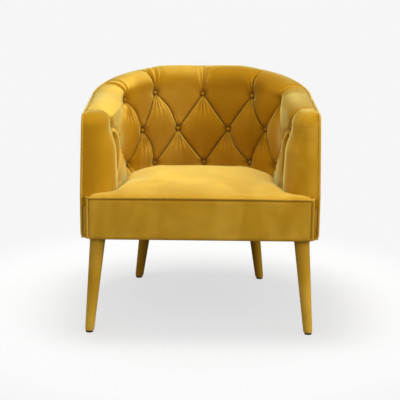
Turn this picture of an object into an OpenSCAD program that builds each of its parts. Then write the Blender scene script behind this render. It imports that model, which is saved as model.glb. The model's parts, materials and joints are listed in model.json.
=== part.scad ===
// Occasional chair: a low upholstered tub with a deep-buttoned back, a tight crowned seat and
// four splayed legs. Millimetres, +Z up, the front faces -Y, origin on the floor at the middle.

/* [Overall] */
// Width over the outer piping
overall_w = 700; // [640:5:780]
// Depth from the front border to the outer back
overall_d = 655; // [620:5:740]
// Height of the underside of the frame above the floor
under_z = 292; // [260:1:310]
// Rise from the underside of the frame to the front edge of the seat
seat_rise = 130; // [126:1:136]
// Rise from the front edge of the seat to the arm rim
arm_rise = 247; // [230:1:265]
// Rise of the rim from the arms to the middle of the back
back_rise = 67; // [45:1:85]

/* [Plan curve] */
// Radius of the two rear corners of the tub
corner_r = 230; // [200:5:260]
// Half of the angle that the shallow back arc spans
back_half_angle = 25; // [20:1:30]
// From the outer back to the place on the arm where the rim starts to climb
climb_start = 268; // [238:5:288]
// How the rim climbs: 1 is straight, more starts flatter
climb_power = 1.5; // [1.2:0.1:2]

/* [Upholstery] */
// Thickness of the outer cover
cover_t = 2; // [1.5:0.5:3]
// Thickness of the board behind the outer cover
board_t = 3; // [2:0.5:4]
// Thickness of the foam slabs inside the tub
slab_t = 17; // [12:1:20]
// Inner face of the pads measured from the outline, at the rim
pad_face_d = 98; // [90:1:108]
// Extra pad per millimetre below the rim on the back
back_lean = 0.16; // [0.1:0.01:0.2]
// Extra pad per millimetre below the rim on the arms
arm_lean = 0.05; // [0.02:0.01:0.08]
// Padding over the top rails
rim_pad_t = 34; // [28:1:40]
// Diameter of the piping
piping_dia = 7; // [6:0.5:8]

/* [Buttoning] */
// Spacing of the buttons across the back
back_pitch = 172; // [150:2:180]
// Spacing of the buttons round a corner
corner_pitch = 138; // [120:2:150]
// Drop from the rim to the top row of buttons at the back
top_row_drop = 87; // [80:1:100]
// Drop from the seat's front edge to the bottom row of buttons
low_row_drop = 4; // [0:1:8]
// How far the middle row lies above the middle between the other two
mid_row_lift = 2; // [0:1:6]
// How far the top row falls along an arm
row_fall = 50; // [30:5:60]
// Depth of the folds between the buttons
fold_depth = 15; // [8:1:18]
// Extra depth at a button
button_pull = 12; // [8:1:14]
// Diameter of a covered button
button_dia = 15; // [14:1:19]

/* [Arm fronts] */
// From the front border to the pleat that starts the smooth arm front
front_pleat_in = 177; // [167:2:197]
// From the front border to the middle of the rounded arm front at seat height
nose_in = 105; // [98:1:112]
// How far the arm front leans back per millimetre of height
rake = 0.22; // [0.15:0.01:0.25]
// Depth of the rounded arm front as a share of its width
nose_ratio = 0.85; // [0.75:0.01:0.88]
// How far the arm front is drawn in at its top, beside the pleat
waist_t = 22; // [10:1:24]

/* [Seat] */
// Height of the seat crown above its front edge
seat_crown = 24; // [15:1:35]
// From the front border to the seat crown
crown_in = 287; // [260:1:310]
// Drop of the seat from its crown to the rear edge
seat_rear_drop = 50; // [35:1:55]
// Drop of the seat from its middle to the arms
seat_side_drop = 34; // [20:1:38]
// Width of the band between the front border and the outline, on each side
side_band_w = 25; // [24:0.5:40]
// Thickness of the front border
border_t = 8; // [6:1:10]
// Thickness of the seat foam block
seat_foam_t = 29; // [20:1:29]

/* [Frame] */
// Height of the seat rails
rail_h = 58; // [50:1:62]
// Thickness of the seat rails
rail_t = 28; // [20:1:32]
// Thickness of the top rails
top_rail_t = 22; // [18:1:28]
// Thickness of the boards behind the arm fronts
stump_t = 30; // [18:1:35]
// Side of the rear posts
post_t = 34; // [28:1:36]
// Thickness of the planks that hold the legs
plank_t = 24; // [20:1:30]
// Width of a webbing strap
strap_w = 50; // [40:5:60]
// Thickness of a webbing strap
strap_t = 1.5; // [1:0.5:2]

/* [Legs] */
// Diameter of a leg at the top
leg_top_dia = 46; // [38:1:48]
// Diameter of a leg at the bottom
leg_bottom_dia = 27; // [25:1:32]
// Thickness of the velvet sleeve on a leg
sleeve_t = 1.2; // [1:0.1:2]
// From the side of the outline to a front foot
front_foot_side = 22; // [20:1:50]
// From the side of the outline to a front leg's head
front_head_side = 49; // [44:1:65]
// From the front border to a front foot
front_foot_in = 23; // [21:1:38]
// From the front border to a front leg's head
front_head_in = 41; // [38:1:58]
// From the side of the outline to a rear foot
rear_foot_side = 140; // [120:1:160]
// From the side of the outline to a rear leg's head
rear_head_side = 178; // [170:1:190]
// From the outer back to a rear foot
rear_foot_in = 90; // [78:1:102]
// From the outer back to a rear leg's head
rear_head_in = 122; // [118:1:132]
// Diameter of a glide
glide_dia = 22; // [18:1:24]
// Thickness of a glide
glide_t = 4; // [3:0.5:6]
// Diameter of a leg bolt
bolt_dia = 8; // [6:1:10]

/* [Hidden] */
velvet = "goldenrod";
velvet_dark = "darkgoldenrod";
timber = "burlywood";
foam_colour = "ivory";

// Clearance between neighbours that are soft or curved
gap = 0.3;
half_w = overall_w / 2;
front_y = -overall_d / 2;
back_y = overall_d / 2;
border_w = overall_w - 2 * side_band_w;
climb_y = back_y - climb_start;
front_pleat_y = front_y + front_pleat_in;
nose_y = front_y + nose_in;
crown_y = front_y + crown_in;
// Heights, each built on the one below it
seat_z = under_z + seat_rise;
arm_z = seat_z + arm_rise;
back_z = arm_z + back_rise;
top_row_z = back_z - top_row_drop;
low_row_z = seat_z - low_row_drop;
mid_row_z = (top_row_z + low_row_z) / 2 + mid_row_lift;
// The outline in plan: a shallow back arc, two corner arcs and two straight sides
back_r = (half_w - corner_r) / sin(back_half_angle) + corner_r;
back_cy = back_y - back_r;
side_y = back_cy + cos(back_half_angle) * (back_r - corner_r);

// Layers of the tub wall, each measured inwards from the outline
cover_d = 0.6;
board_d = cover_d + cover_t + gap;
frame_d = board_d + board_t + gap;
slab_d = frame_d + post_t + gap;
pad_back_d = slab_d + slab_t + gap;
piping_r = piping_dia / 2;
pivot_d = max(frame_d, piping_dia) + gap;
pad_out_d = pivot_d + 2;

// Stations along the tub are measured at this distance from the outline
station_d = 75;
back_s = (back_r - station_d) * back_half_angle * PI / 180;
corner_s = back_s + (corner_r - station_d) * (90 - back_half_angle) * PI / 180;

function clamp01(t) = min(1, max(0, t));
function ease(t) = let (c = clamp01(t)) c * c * (3 - 2 * c);
function mix(a, b, t) = a + (b - a) * t;

// Angle of the outline's normal at a station, from +Y towards +X
function heading(s) = abs(s) < back_s ? abs(s) / (back_r - station_d) * 180 / PI
    : abs(s) < corner_s ? back_half_angle + (abs(s) - back_s) / (corner_r - station_d) * 180 / PI
    : 90;
// Plan point at a station, a distance d inside the outline
function plan(s, d) = let (a = heading(s), side = s < 0 ? -1 : 1)
    abs(s) < back_s ? [side * (back_r - d) * sin(a), back_cy + (back_r - d) * cos(a)]
    : abs(s) < corner_s
        ? [side * (half_w - corner_r + (corner_r - d) * sin(a)), side_y + (corner_r - d) * cos(a)]
    : [side * (half_w - d), side_y + corner_s - abs(s)];
// Station on a straight side that lies at a given y
function station_at(y) = corner_s + side_y - y;

// Height of the rim over the outline, and the rolled front corner below it
flat_top_d = 21;
climb_end_y = back_y - flat_top_d;
arm_slope = 0.056;
climb = back_z - arm_z - arm_slope * climb_end_y;
function rim_z(y) = arm_z + arm_slope * min(y, climb_end_y)
    + climb * pow(clamp01((y - climb_y) / (climb_end_y - climb_y)), climb_power);
function rim_at(s) = rim_z(plan(s, 0)[1]);

// Buttons lie on a lattice: u counts columns along the tub, v counts rows down from the top
arm_pitch = station_at(front_pleat_y) - back_pitch - corner_pitch;
function column_s(u) = sign(u) * (back_pitch * min(abs(u), 1)
    + corner_pitch * min(max(abs(u) - 1, 0), 1) + arm_pitch * max(abs(u) - 2, 0));
function top_z(s) = top_row_z - row_fall
    * pow(max(0, abs(s) - back_pitch) / (station_at(front_pleat_y) - back_pitch), 1.2);
function row_z(s, v) = v > -1 ? mix(top_z(s), mid_row_z, -v) : mix(mid_row_z, low_row_z, -v - 1);

// Height of the smooth roll over the rim, and the pad face before it is buttoned
roll_share = 0.6;
lean_from_s = 150;
lean_to_s = 350;
function roll_h(s) = roll_share * (rim_at(s) - top_z(s));
function lean(s) = mix(back_lean, arm_lean, ease((abs(s) - lean_from_s) / (lean_to_s - lean_from_s)));
function face_d(s, z) = pad_face_d + lean(s) * (rim_at(s) - z);

// Depth of the buttoned surface below the smooth face
pad_tuck = 31;
pad_bottom_z = seat_z - pad_tuck;
pull_reach = 16;
function fold_share(u, v) = let (w = max(-2, min(0, v)), p = u - w / 2, q = u + w / 2)
    1 - sqrt(abs(sin(180 * p) * sin(180 * q)));
function pull_share(u, v) = let (w = max(-2, min(0, v)),
        near_u = round(2 * u) / 2, near_v = 2 * near_u % 2 == 0 ? (w < -1 ? -2 : 0) : -1,
        across = (u - near_u) * back_pitch, down = (v - near_v) * (top_row_z - mid_row_z))
    exp(-(across * across + down * down) / (pull_reach * pull_reach));
function row_fade(v) = v > 0 ? mix(1, 0.25, clamp01(v * 1.6)) : v < -2 ? clamp01(1 + 4 * (v + 2)) : 1;
function tuft(u, v) = row_fade(v) * (fold_depth * fold_share(u, v) + button_pull * pull_share(u, v));

// One closed section of a pad: over the rim, down the buttoned face, and back up inside.
// Each entry is the distance inside the outline and the height. A share of 0 leaves it smooth.
rows = 6;
crown_d = 42;
edge_drop = 9;
function section(s, u, share) = let (rim = rim_at(s), roll = roll_h(s),
        face = face_d(s, rim - roll), knee_v = (rim - roll - top_z(s)) / (top_row_z - mid_row_z))
    concat(
        [[pad_out_d, rim - rim_pad_t]],
        [for (a = [90, 45]) [crown_d - (crown_d - pad_out_d) * sin(a), rim - edge_drop * (1 - cos(a))]],
        [[crown_d, rim - share * 0.25 * fold_depth * fold_share(u, 1)]],
        [for (a = [30, 60, 90]) let (t = share * tuft(u, knee_v) * a / 90)
            [mix(crown_d, face, sin(a)) - t * sin(a), rim - roll * (1 - cos(a)) - t * cos(a)]],
        [for (k = [1 : 2]) let (z = mix(rim - roll, top_z(s), k / 2), v = knee_v * (1 - k / 2))
            [face_d(s, z) - share * tuft(u, v), z]],
        [for (k = [1 : 2 * rows]) let (v = -k / rows, z = row_z(s, v))
            [face_d(s, z) - share * tuft(u, v), z]],
        [[face_d(s, pad_bottom_z), pad_bottom_z], [pad_back_d, pad_bottom_z],
            [pad_back_d + 0.5, seat_z], [pad_back_d, rim - rim_pad_t]]);

// A closed skin over a list of rings, each a list of points in the same order. Each patch is split
// along its fold, where it has one, and the caps fan from the ring's last point.
function spread_of(p) = norm([p[0], p[1]]);
module skin(rings) {
    n = len(rings[0]);
    last = len(rings) - 1;
    points = [for (ring = rings) each ring];
    walls = [for (i = [0 : last - 1], j = [0 : n - 1]) let (k = (j + 1) % n,
            a = i * n + j, b = i * n + k, c = (i + 1) * n + k, d = (i + 1) * n + j,
            out_ac = spread_of(points[a] + points[c]), out_bd = spread_of(points[b] + points[d]),
            folded = abs(out_ac - out_bd) > 6,
            by_ac = folded ? out_ac > out_bd : norm(points[a] - points[c]) < norm(points[b] - points[d]))
        each by_ac ? [[a, c, b], [a, d, c]] : [[a, d, b], [b, d, c]]];
    caps = [for (j = [0 : n - 3])
        each [[n - 1, j, j + 1], [last * n + n - 1, last * n + j + 1, last * n + j]]];
    polyhedron(points, concat(walls, caps));
}

// A round tube swept along a list of points, with sides all round
module tube(path, r, sides = 8) {
    last = len(path) - 1;
    rings = [for (i = [0 : last]) let (
            along = path[min(i + 1, last)] - path[max(i - 1, 0)], t = along / norm(along),
            side = abs(t[2]) > 0.9 ? [1, 0, 0] : [0, 0, 1],
            x = cross(t, side) / norm(cross(t, side)), y = cross(t, x))
        [for (k = [0 : sides - 1]) path[i] + r * (cos(360 * k / sides) * x + sin(360 * k / sides) * y)]];
    skin(rings);
}

// Stations spread over the tub from one arm to the other, starting at a given y
function spread(y_from, arc_steps = 20, corner_steps = 14) = let (end = station_at(y_from),
        half = concat([for (k = [0 : arc_steps / 2]) back_s * k * 2 / arc_steps],
            [for (k = [1 : corner_steps]) mix(back_s, corner_s, k / corner_steps)], [end]))
    concat([for (k = [len(half) - 1 : -1 : 1]) -half[k]], half);

// The tub's plan inside a distance d, open at the front, and a wall between two distances. A wall
// starts on the straight side, and side views cut it where it starts further back.
module tub_area(d, y_from) {
    polygon([for (s = spread(y_from)) plan(s, d)]);
}
module tub_wall(d_out, d_in, y_from) {
    stations = spread(min(y_from, side_y - gap));
    polygon(concat([for (s = stations) plan(s, d_out)],
        [for (k = [len(stations) - 1 : -1 : 0]) plan(stations[k], d_in)]));
}

// A line that follows the rim at a drop below it, and the shapes that it bounds in side view
rim_steps = 14;
function rim_line(drop, y_from, y_to) =
    [for (k = [0 : rim_steps]) let (y = mix(y_from, y_to, k / rim_steps)) [y, rim_z(y) - drop]];
module across() {
    rotate([90, 0, 90]) linear_extrude(overall_w + 2, center = true) children();
}
module under_rim(drop, y_from, y_to, z_from) {
    across() polygon(concat([[y_from, z_from]], rim_line(drop, y_from, y_to), [[y_to, z_from]]));
}
module rim_band(drop_top, drop_low, y_from, y_to) {
    low = rim_line(drop_low, y_from, y_to);
    across() polygon(concat(rim_line(drop_top, y_from, y_to), [for (k = [rim_steps : -1 : 0]) low[k]]));
}

// The arm front turns about a line that stands upright beside the seat and leans back above it
pleat_s = station_at(front_pleat_y);
function pivot_y(z) = nose_y + rake * max(0, z - seat_z);
function nose_point(d, z, turn, drawn = 0) = [half_w - pivot_d - cos(turn) * (d - drawn - pivot_d),
    pivot_y(z) - nose_ratio * sin(turn) * (d - pivot_d),
    min(z, rim_at(pleat_s) - edge_drop * (1 - cos(turn)))];
// The arm section in front of the last pleat, where the pad is smooth
front_section = section(pleat_s, 3, 0);
front_points = len(front_section);
// How far each of its points is drawn in sideways, none inside the pad
front_drawn = [for (i = [0 : front_points - 1]) let (e = front_section[i]) i > front_points - 4 ? 0
    : waist_t * ease((e[1] - mid_row_z) / (top_z(pleat_s) - mid_row_z))
        * clamp01((e[0] - crown_d) / (pad_face_d - crown_d))];
// The outer edge of the arm front in side view, from the seat up to where it meets the rim
edge_path = [for (k = [front_points - 5 : -1 : 1])
    let (p = nose_point(front_section[k][0], front_section[k][1], 90))
    if (p[2] < rim_at(pleat_s) - edge_drop - 1) [p[1], p[2]]];
edge_low_y = edge_path[0][0];

// Side view of the outer cover and its board, set back from the edge by a margin
rim_bend = 24;
rim_start_y = edge_path[len(edge_path) - 1][0] + rim_bend;
// A line set back square to itself, on its right-hand side
function set_back(line, margin) = let (last = len(line) - 1)
    [for (i = [0 : last]) let (along = line[min(i + 1, last)] - line[max(i - 1, 0)])
        line[i] + margin / norm(along) * [along[1], -along[0]]];
module side_view(margin) {
    edge = concat([[edge_low_y, under_z]], edge_path, rim_line(edge_drop, rim_start_y, back_y + 1));
    across() polygon(concat(set_back(edge, margin), [[back_y + 1, under_z]]));
}

module outer_cover() {
    color(velvet) intersection() {
        linear_extrude(back_z) tub_wall(cover_d, cover_d + cover_t, front_y);
        side_view(piping_r + 3 * gap);
    }
}
module outer_board() {
    color("tan") intersection() {
        linear_extrude(back_z) tub_wall(board_d, board_d + board_t, front_y);
        side_view(piping_r + 3 * gap);
    }
}

// Piping: up from the bottom corner, round the arm front and along the whole rim
foot_r = 12;
piping_x = half_w - piping_r;
piping_low = under_z + piping_r;
piping_lead = 2;
piping_start_x = piping_x - foot_r - piping_lead;
function right_piping() = concat(
    [[piping_start_x, edge_low_y, piping_low]],
    [for (a = [0 : 22.5 : 90]) [piping_x - foot_r + foot_r * sin(a), edge_low_y,
        piping_low + foot_r - foot_r * cos(a)]],
    [for (p = edge_path) [piping_x, p[0], p[1]]],
    [for (k = [0 : 6]) let (y = mix(rim_start_y, side_y - 12, k / 6)) [piping_x, y, rim_z(y) - edge_drop]]);
module outer_piping() {
    right = right_piping();
    stations = spread(side_y - 1, 14, 8);
    back = [for (k = [len(stations) - 1 : -1 : 0]) let (p = plan(stations[k], piping_r))
        [p[0], p[1], rim_z(p[1]) - edge_drop]];
    left = [for (k = [len(right) - 1 : -1 : 0]) [-right[k][0], right[k][1], right[k][2]]];
    color(velvet) tube(concat(right, back, left), piping_r);
}

// Padded strip beside the front border, below the arm front
module side_strip() {
    strip_in = border_w / 2 + piping_dia + 1;
    strip_out = half_w - piping_dia - 2 * gap;
    strip_low = under_z + piping_dia + 2;
    strip_t = 6;
    cut = 0.65 * (strip_out - strip_in);
    color(velvet_dark) translate([0, edge_low_y + strip_t, 0]) rotate([90, 0, 0]) linear_extrude(strip_t)
        polygon([[strip_in, strip_low], [strip_out - cut, strip_low], [strip_out, strip_low + cut],
            [strip_out, pad_bottom_z - gap], [strip_in, pad_bottom_z - gap]]);
}

// Buttoned pads: the back, and one on each arm
module pad(u_from, u_to, per_column) {
    count = round((u_to - u_from) * per_column);
    rings = [for (k = [0 : count]) let (u = mix(u_from, u_to, k / count),
            inset = k == 0 ? gap / 2 : k == count ? -gap / 2 : 0, s = column_s(u) + inset)
        [for (e = section(s, u, 1)) let (p = plan(s, e[0])) [p[0], p[1], e[1]]]];
    color(velvet) skin(rings);
}

// Smooth arm front: a short straight run, then a quarter turn
module arm_front() {
    run = [for (r = [[0, 1], [0.3, 0.75], [0.6, 0.2]]) let (ring = section(pleat_s, 3, r[1]))
        [for (i = [0 : front_points - 1]) let (e = ring[i]) [half_w - e[0] + (1 - r[1]) * front_drawn[i],
            mix(front_pleat_y - gap / 2, pivot_y(e[1]), r[0]), e[1]]]];
    turn = [for (a = [0 : 10 : 90]) [for (i = [0 : front_points - 1])
        nose_point(front_section[i][0], front_section[i][1], a, front_drawn[i])]];
    color(velvet) skin(concat(run, turn));
}

// A covered button with its shank, its face along +Z and its shank end at the origin
shank_l = 11.8;
shank_r = 1.2;
shank_tip = 3;
dome_h = 6.8;
module button() {
    r = button_dia / 2;
    rotate_extrude($fn = 40)
        polygon([[0, 0], [shank_r, shank_tip], [shank_r, shank_l], [r * 0.9, shank_l],
            [r, shank_l + 0.15 * dome_h], [r * 0.93, shank_l + 0.44 * dome_h],
            [r * 0.75, shank_l + 0.74 * dome_h], [r * 0.4, shank_l + 0.93 * dome_h],
            [0, shank_l + dome_h]]);
}
module button_at(u, v) {
    s = column_s(u);
    z = row_z(s, v);
    d = face_d(s, z) - tuft(u, v) + gap;
    p = plan(s, d);
    side = u < 0 ? -1 : 1;
    translate([p[0], p[1], z]) rotate([90, 0, -side * heading(s)]) button();
}
module back_buttons() {
    color(velvet_dark) {
        for (u = [-1 : 1], v = [0, -2]) button_at(u, v);
        for (u = [-1.5 : 1 : 1.5]) button_at(u, -1);
    }
}
module arm_buttons(side) {
    color(velvet_dark) {
        for (v = [0, -2]) button_at(side * 2, v);
        button_at(side * 2.5, -1);
        button_at(side * 3, 0);
    }
}

// Plain foam slabs behind the pads, from above the seat rails to under the rolled rim
slab_lift = 12;
slab_low_z = under_z + rail_h + slab_lift;
slab_front_y = pivot_y(arm_z) + 8;
module foam_wall(y_from, y_to) {
    color(foam_colour) intersection() {
        linear_extrude(back_z) tub_wall(slab_d, slab_d + slab_t, y_from);
        under_rim(rim_pad_t + gap, y_from, y_to, slab_low_z);
    }
}
module one_side(side) {
    intersection() {
        children();
        translate([side > 0 ? 1 : -half_w - 1, -overall_d, 0]) cube([half_w, 2 * overall_d, back_z + 10]);
    }
}

// Seat cover: a T in plan with its ears in front of the arms, crowned and drawn in at the edges
seat_front_y = front_y + border_t + gap;
seat_depth = 33;
seat_low_z = seat_z - seat_depth;
// The seat falls to the arms over this stretch of its half width, and to the rear along this power
side_fall_from = 0.5;
side_fall_over = 0.45;
rear_fall_power = 2.2;
ease_in = 150;
ear_x = border_w / 2 + 2;
seat_rear_y = plan(0, face_d(0, pad_bottom_z))[1];
function seat_height(x, y) = let (
        front = seat_crown * sin(90 * clamp01((y - front_y) / (crown_y - front_y))),
        rear = seat_rear_drop * pow(clamp01((y - crown_y) / (seat_rear_y - crown_y)), rear_fall_power),
        arm_x = half_w - pad_face_d,
        across = clamp01((abs(x) / arm_x - side_fall_from) / side_fall_over),
        side = seat_side_drop * pow(across, 1.5) * ease((y - nose_y) / ease_in))
    seat_z + front - rear - side;
seat_gap = 1.2;
function seat_side_d(s) = face_d(s, pad_bottom_z) + seat_gap;
// Outline of the right half from the middle of the front edge round to the middle of the back
ear_rear = [for (a = [75 : -15 : 0]) let (
        p = nose_point(face_d(pleat_s, pad_bottom_z) + seat_gap / nose_ratio, pad_bottom_z, a))
    [p[0], p[1] - seat_gap]];
ear_lead = 25;
ear_stations = [for (k = [0 : 4]) mix(station_at(pivot_y(pad_bottom_z) + ear_lead), corner_s, k / 4)];
round_stations = [for (k = [1 : 7]) mix(corner_s, 0, k / 7)];
seat_half = concat(
    [for (k = [0 : 5]) [ear_x * 0.97 * k / 5, seat_front_y]],
    [[ear_x, seat_front_y + 8], [ear_x, ear_rear[0][1] - 2]],
    ear_rear,
    [for (s = concat(ear_stations, round_stations)) plan(s, seat_side_d(s))]);
seat_outline = concat(seat_half,
    [for (k = [len(seat_half) - 2 : -1 : 1]) [-seat_half[k][0], seat_half[k][1]]]);
seat_hub_back = 125;
seat_hub = [0, front_y + seat_hub_back];
// Each ring of the seat: its share of the way from the hub to the outline, and its drop at the edge
seat_rings = [[1, 13], [0.985, 6], [0.95, 2], [0.88, 0], [0.72, 0], [0.5, 0], [0.25, 0]];
module seat_cover() {
    n = len(seat_outline);
    count = len(seat_rings);
    low = [for (p = seat_outline) [p[0], p[1], seat_low_z]];
    top = [for (ring = seat_rings) [for (p = seat_outline)
        let (q = seat_hub + (p - seat_hub) * ring[0], z = seat_height(q[0], q[1]) - ring[1])
            [q[0], q[1], max(seat_low_z + 1, z)]]];
    points = concat([[seat_hub[0], seat_hub[1], seat_low_z]], low, [for (ring = top) each ring],
        [[seat_hub[0], seat_hub[1], seat_height(seat_hub[0], seat_hub[1])]]);
    peak = len(points) - 1;
    faces = concat(
        [for (j = [0 : n - 1]) [0, 1 + j, 1 + (j + 1) % n]],
        [for (i = [0 : count - 1], j = [0 : n - 1]) let (a = 1 + i * n + j, b = 1 + i * n + (j + 1) % n)
            each [[a, a + n, b], [b, a + n, b + n]]],
        [for (j = [0 : n - 1]) [1 + count * n + j, peak, 1 + count * n + (j + 1) % n]]);
    color(velvet) polyhedron(points, faces);
}

// Front border: a padded panel with a slight belly
border_top_z = seat_z - piping_dia - 1;
module front_border() {
    belly = 1.2;
    rounds = 8;
    color(velvet_dark) rotate([90, 0, 90]) linear_extrude(border_w, center = true)
        polygon(concat([[seat_front_y - gap, under_z]],
            [for (k = [0 : rounds]) [front_y + belly - belly * sin(180 * k / rounds),
                mix(under_z, border_top_z, k / rounds)]],
            [[seat_front_y - gap, border_top_z]]));
}
module seat_piping() {
    x = ear_x + piping_r + 0.5;
    y = front_y + piping_r;
    z = border_top_z + piping_r + 0.2;
    bend = 9;
    half = concat(
        [[x, edge_low_y - 1, z]],
        [for (a = [0 : 22.5 : 90]) [x - bend + bend * cos(a), y + bend - bend * sin(a), z]],
        [for (k = [4 : -1 : 1]) [x * 0.93 * k / 4, y, z]]);
    color(velvet) tube(concat(half,
        [for (k = [len(half) - 1 : -1 : 0]) [-half[k][0], half[k][1], half[k][2]]]), piping_r);
}
module border_pipings() {
    color(velvet) for (side = [-1, 1])
        translate([side * (border_w / 2 + piping_r + 0.2), front_y + piping_r, under_z])
            cylinder(r = piping_r, h = border_top_z - under_z - 0.2, $fn = 32);
}

// Seat underlay: foam block, lining and two layers of webbing
rail_top_z = under_z + rail_h;
lining_t = 2;
lining_z = rail_top_z + 2 * strap_t + 2 * gap;
foam_z = lining_z + lining_t + gap;
layer_inset = 3;
strap_inset = 4;
module seat_foam() {
    color(foam_colour) translate([0, 0, foam_z]) linear_extrude(seat_foam_t)
        tub_area(pad_back_d + strap_inset, seat_front_y + layer_inset);
}
module seat_lining() {
    color("dimgray") translate([0, 0, lining_z]) linear_extrude(lining_t)
        tub_area(slab_d - gap, seat_front_y + layer_inset);
}
module webbing_lengthwise() {
    color("black") translate([0, 0, rail_top_z]) linear_extrude(strap_t) intersection() {
        tub_area(frame_d + strap_inset, seat_front_y + strap_inset);
        for (x = [-2 : 2])
            translate([(2 * x - 0.5) * strap_w, front_y]) square([strap_w, overall_d]);
    }
}
first_strap_y = front_y + 2.55 * strap_w;
last_strap_y = back_y - 5.27 * strap_w;
cross_pitch = (last_strap_y - first_strap_y) / 3;
module webbing_crosswise() {
    reach = half_w - frame_d - rail_t / 2;
    color("black") for (k = [0 : 3])
        translate([-reach, first_strap_y + k * cross_pitch, rail_top_z + strap_t + gap])
            cube([2 * reach, strap_w, strap_t]);
}

// Seat frame: a front rail, two side rails and one laminated rail round the back
rail_joint_back = 30;
side_rail_end_y = side_y - rail_joint_back;
module front_rail() {
    color(timber) difference() {
        translate([-border_w / 2, seat_front_y, under_z]) cube([border_w, rail_t, rail_h]);
        leg_sockets();
    }
}
module side_rail() {
    color(timber) translate([half_w - frame_d - rail_t, seat_front_y + rail_t, under_z])
        cube([rail_t, side_rail_end_y - seat_front_y - rail_t, rail_h]);
}
module back_rail() {
    color(timber) translate([0, 0, under_z]) linear_extrude(rail_h)
        tub_wall(frame_d, frame_d + rail_t, side_rail_end_y);
}

// Legs: each leans from its head under the frame to its foot on the floor
function leg_foot(front, side) = front ? [side * (half_w - front_foot_side), front_y + front_foot_in, 0]
    : [side * (half_w - rear_foot_side), back_y - rear_foot_in, 0];
function leg_head(front, side) = front
    ? [side * (half_w - front_head_side), front_y + front_head_in, under_z]
    : [side * (half_w - rear_head_side), back_y - rear_head_in, under_z];
module along_leg(front, side) {
    foot = leg_foot(front, side);
    rise = leg_head(front, side) - foot;
    turn = 40;
    translate(foot) rotate([0, acos(rise[2] / norm(rise)), atan2(rise[1], rise[0])])
        rotate([0, 0, turn]) children();
}
function leg_l(front) = norm(leg_head(front, 1) - leg_foot(front, 1));
// A cone along the leg, thinner than the full leg by a skin, between two heights
leg_over = 20;
module leg_cone(front, side, skin_t, z_low) {
    length = leg_l(front);
    slope = (leg_top_dia - leg_bottom_dia) / 2 / length;
    intersection() {
        along_leg(front, side) translate([0, 0, -leg_over])
            cylinder(r1 = leg_bottom_dia / 2 - slope * leg_over - skin_t,
                r2 = leg_top_dia / 2 + slope * leg_over - skin_t, h = length + 2 * leg_over, $fn = 64);
        translate([-half_w, -overall_d, z_low]) cube([overall_w, 2 * overall_d, under_z - z_low]);
    }
}
bolt_in_leg = 50;
bore_play = 0.2;
nut_r = 10;
nut_lift = 4;
nut_barrel = 12;
nut_wall = 1.5;
bolt_head_in = 6;
core_play = 0.15;
module leg(front, side) {
    color(timber) difference() {
        leg_cone(front, side, sleeve_t + core_play, glide_t);
        along_leg(front, side) translate([0, 0, leg_l(front) - bolt_in_leg])
            cylinder(d = bolt_dia + 2 * bore_play, h = bolt_in_leg + leg_over, $fn = 32);
    }
}
module sleeve(front, side) {
    color(velvet) difference() {
        leg_cone(front, side, 0, glide_t);
        leg_cone(front, side, sleeve_t, glide_t - 1);
    }
}
module glide(front, side) {
    color("dimgray") translate(leg_foot(front, side)) cylinder(d = glide_dia, h = glide_t, $fn = 48);
}
module each_leg() {
    for (front = [true, false], side = [-1, 1])
        along_leg(front, side) translate([0, 0, leg_l(front)]) children();
}
module leg_bolts() {
    color("silver") each_leg() translate([0, 0, 1 - bolt_in_leg])
        cylinder(d = bolt_dia, h = bolt_in_leg + plank_t - bolt_head_in, $fn = 32);
}
module leg_nuts() {
    color("silver") each_leg() difference() {
        union() {
            translate([0, 0, nut_lift]) cylinder(r = nut_r, h = nut_wall, $fn = 32);
            translate([0, 0, nut_lift]) cylinder(d = bolt_dia + 2 * nut_wall, h = nut_barrel, $fn = 32);
        }
        translate([0, 0, nut_lift - 1])
            cylinder(d = bolt_dia + 2 * bore_play, h = nut_barrel + 2, $fn = 32);
    }
}
module leg_sockets() {
    each_leg() translate([0, 0, -leg_over]) {
        cylinder(r = nut_r + gap, h = leg_over + nut_lift + nut_wall + gap, $fn = 32);
        cylinder(d = bolt_dia + 2 * nut_wall + 2 * bore_play, h = leg_over + 2 * plank_t, $fn = 32);
    }
}
plank_w = 70;
module front_plank() {
    inner_x = half_w - frame_d - rail_t - gap;
    color(timber) difference() {
        translate([-inner_x, seat_front_y + rail_t, under_z]) cube([2 * inner_x, plank_w, plank_t]);
        leg_sockets();
    }
}
module rear_plank() {
    color(timber) difference() {
        translate([0, 0, under_z]) linear_extrude(plank_t) intersection() {
            tub_area(frame_d + rail_t + gap, front_y);
            translate([-half_w, leg_head(false, 1)[1] - plank_w / 2]) square([overall_w, plank_w]);
        }
        leg_sockets();
    }
}

// Top rails under the rolled rim
top_rail_in_d = slab_d - 2 * gap;
rail_drop = rim_pad_t + top_rail_t;
stump_front = -(stump_t + 1);
function stump_top(offset) = (arm_z - rail_drop + arm_slope * (nose_y + offset - rake * seat_z))
    / (1 - arm_slope * rake) - 0.1;
rail_front_y = pivot_y(arm_z - rim_pad_t) + stump_front;
module top_rail(y_from, y_to) {
    color(timber) intersection() {
        linear_extrude(back_z + 10) tub_wall(frame_d, top_rail_in_d, y_from);
        rim_band(rim_pad_t + gap, rail_drop, y_from, y_to);
    }
}

// Upright boards behind the arm fronts, leaning with the rake up to the arm rails
module arm_stump() {
    color(timber) translate([half_w - top_rail_in_d, 0, 0]) rotate([90, 0, 90])
        linear_extrude(top_rail_in_d - frame_d) polygon(concat(
            [for (z = [rail_top_z, seat_z, stump_top(stump_front)]) [pivot_y(z) + stump_front, z]],
            [for (z = [stump_top(stump_front + stump_t), seat_z, rail_top_z])
                [pivot_y(z) + stump_front + stump_t, z]]));
}

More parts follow.
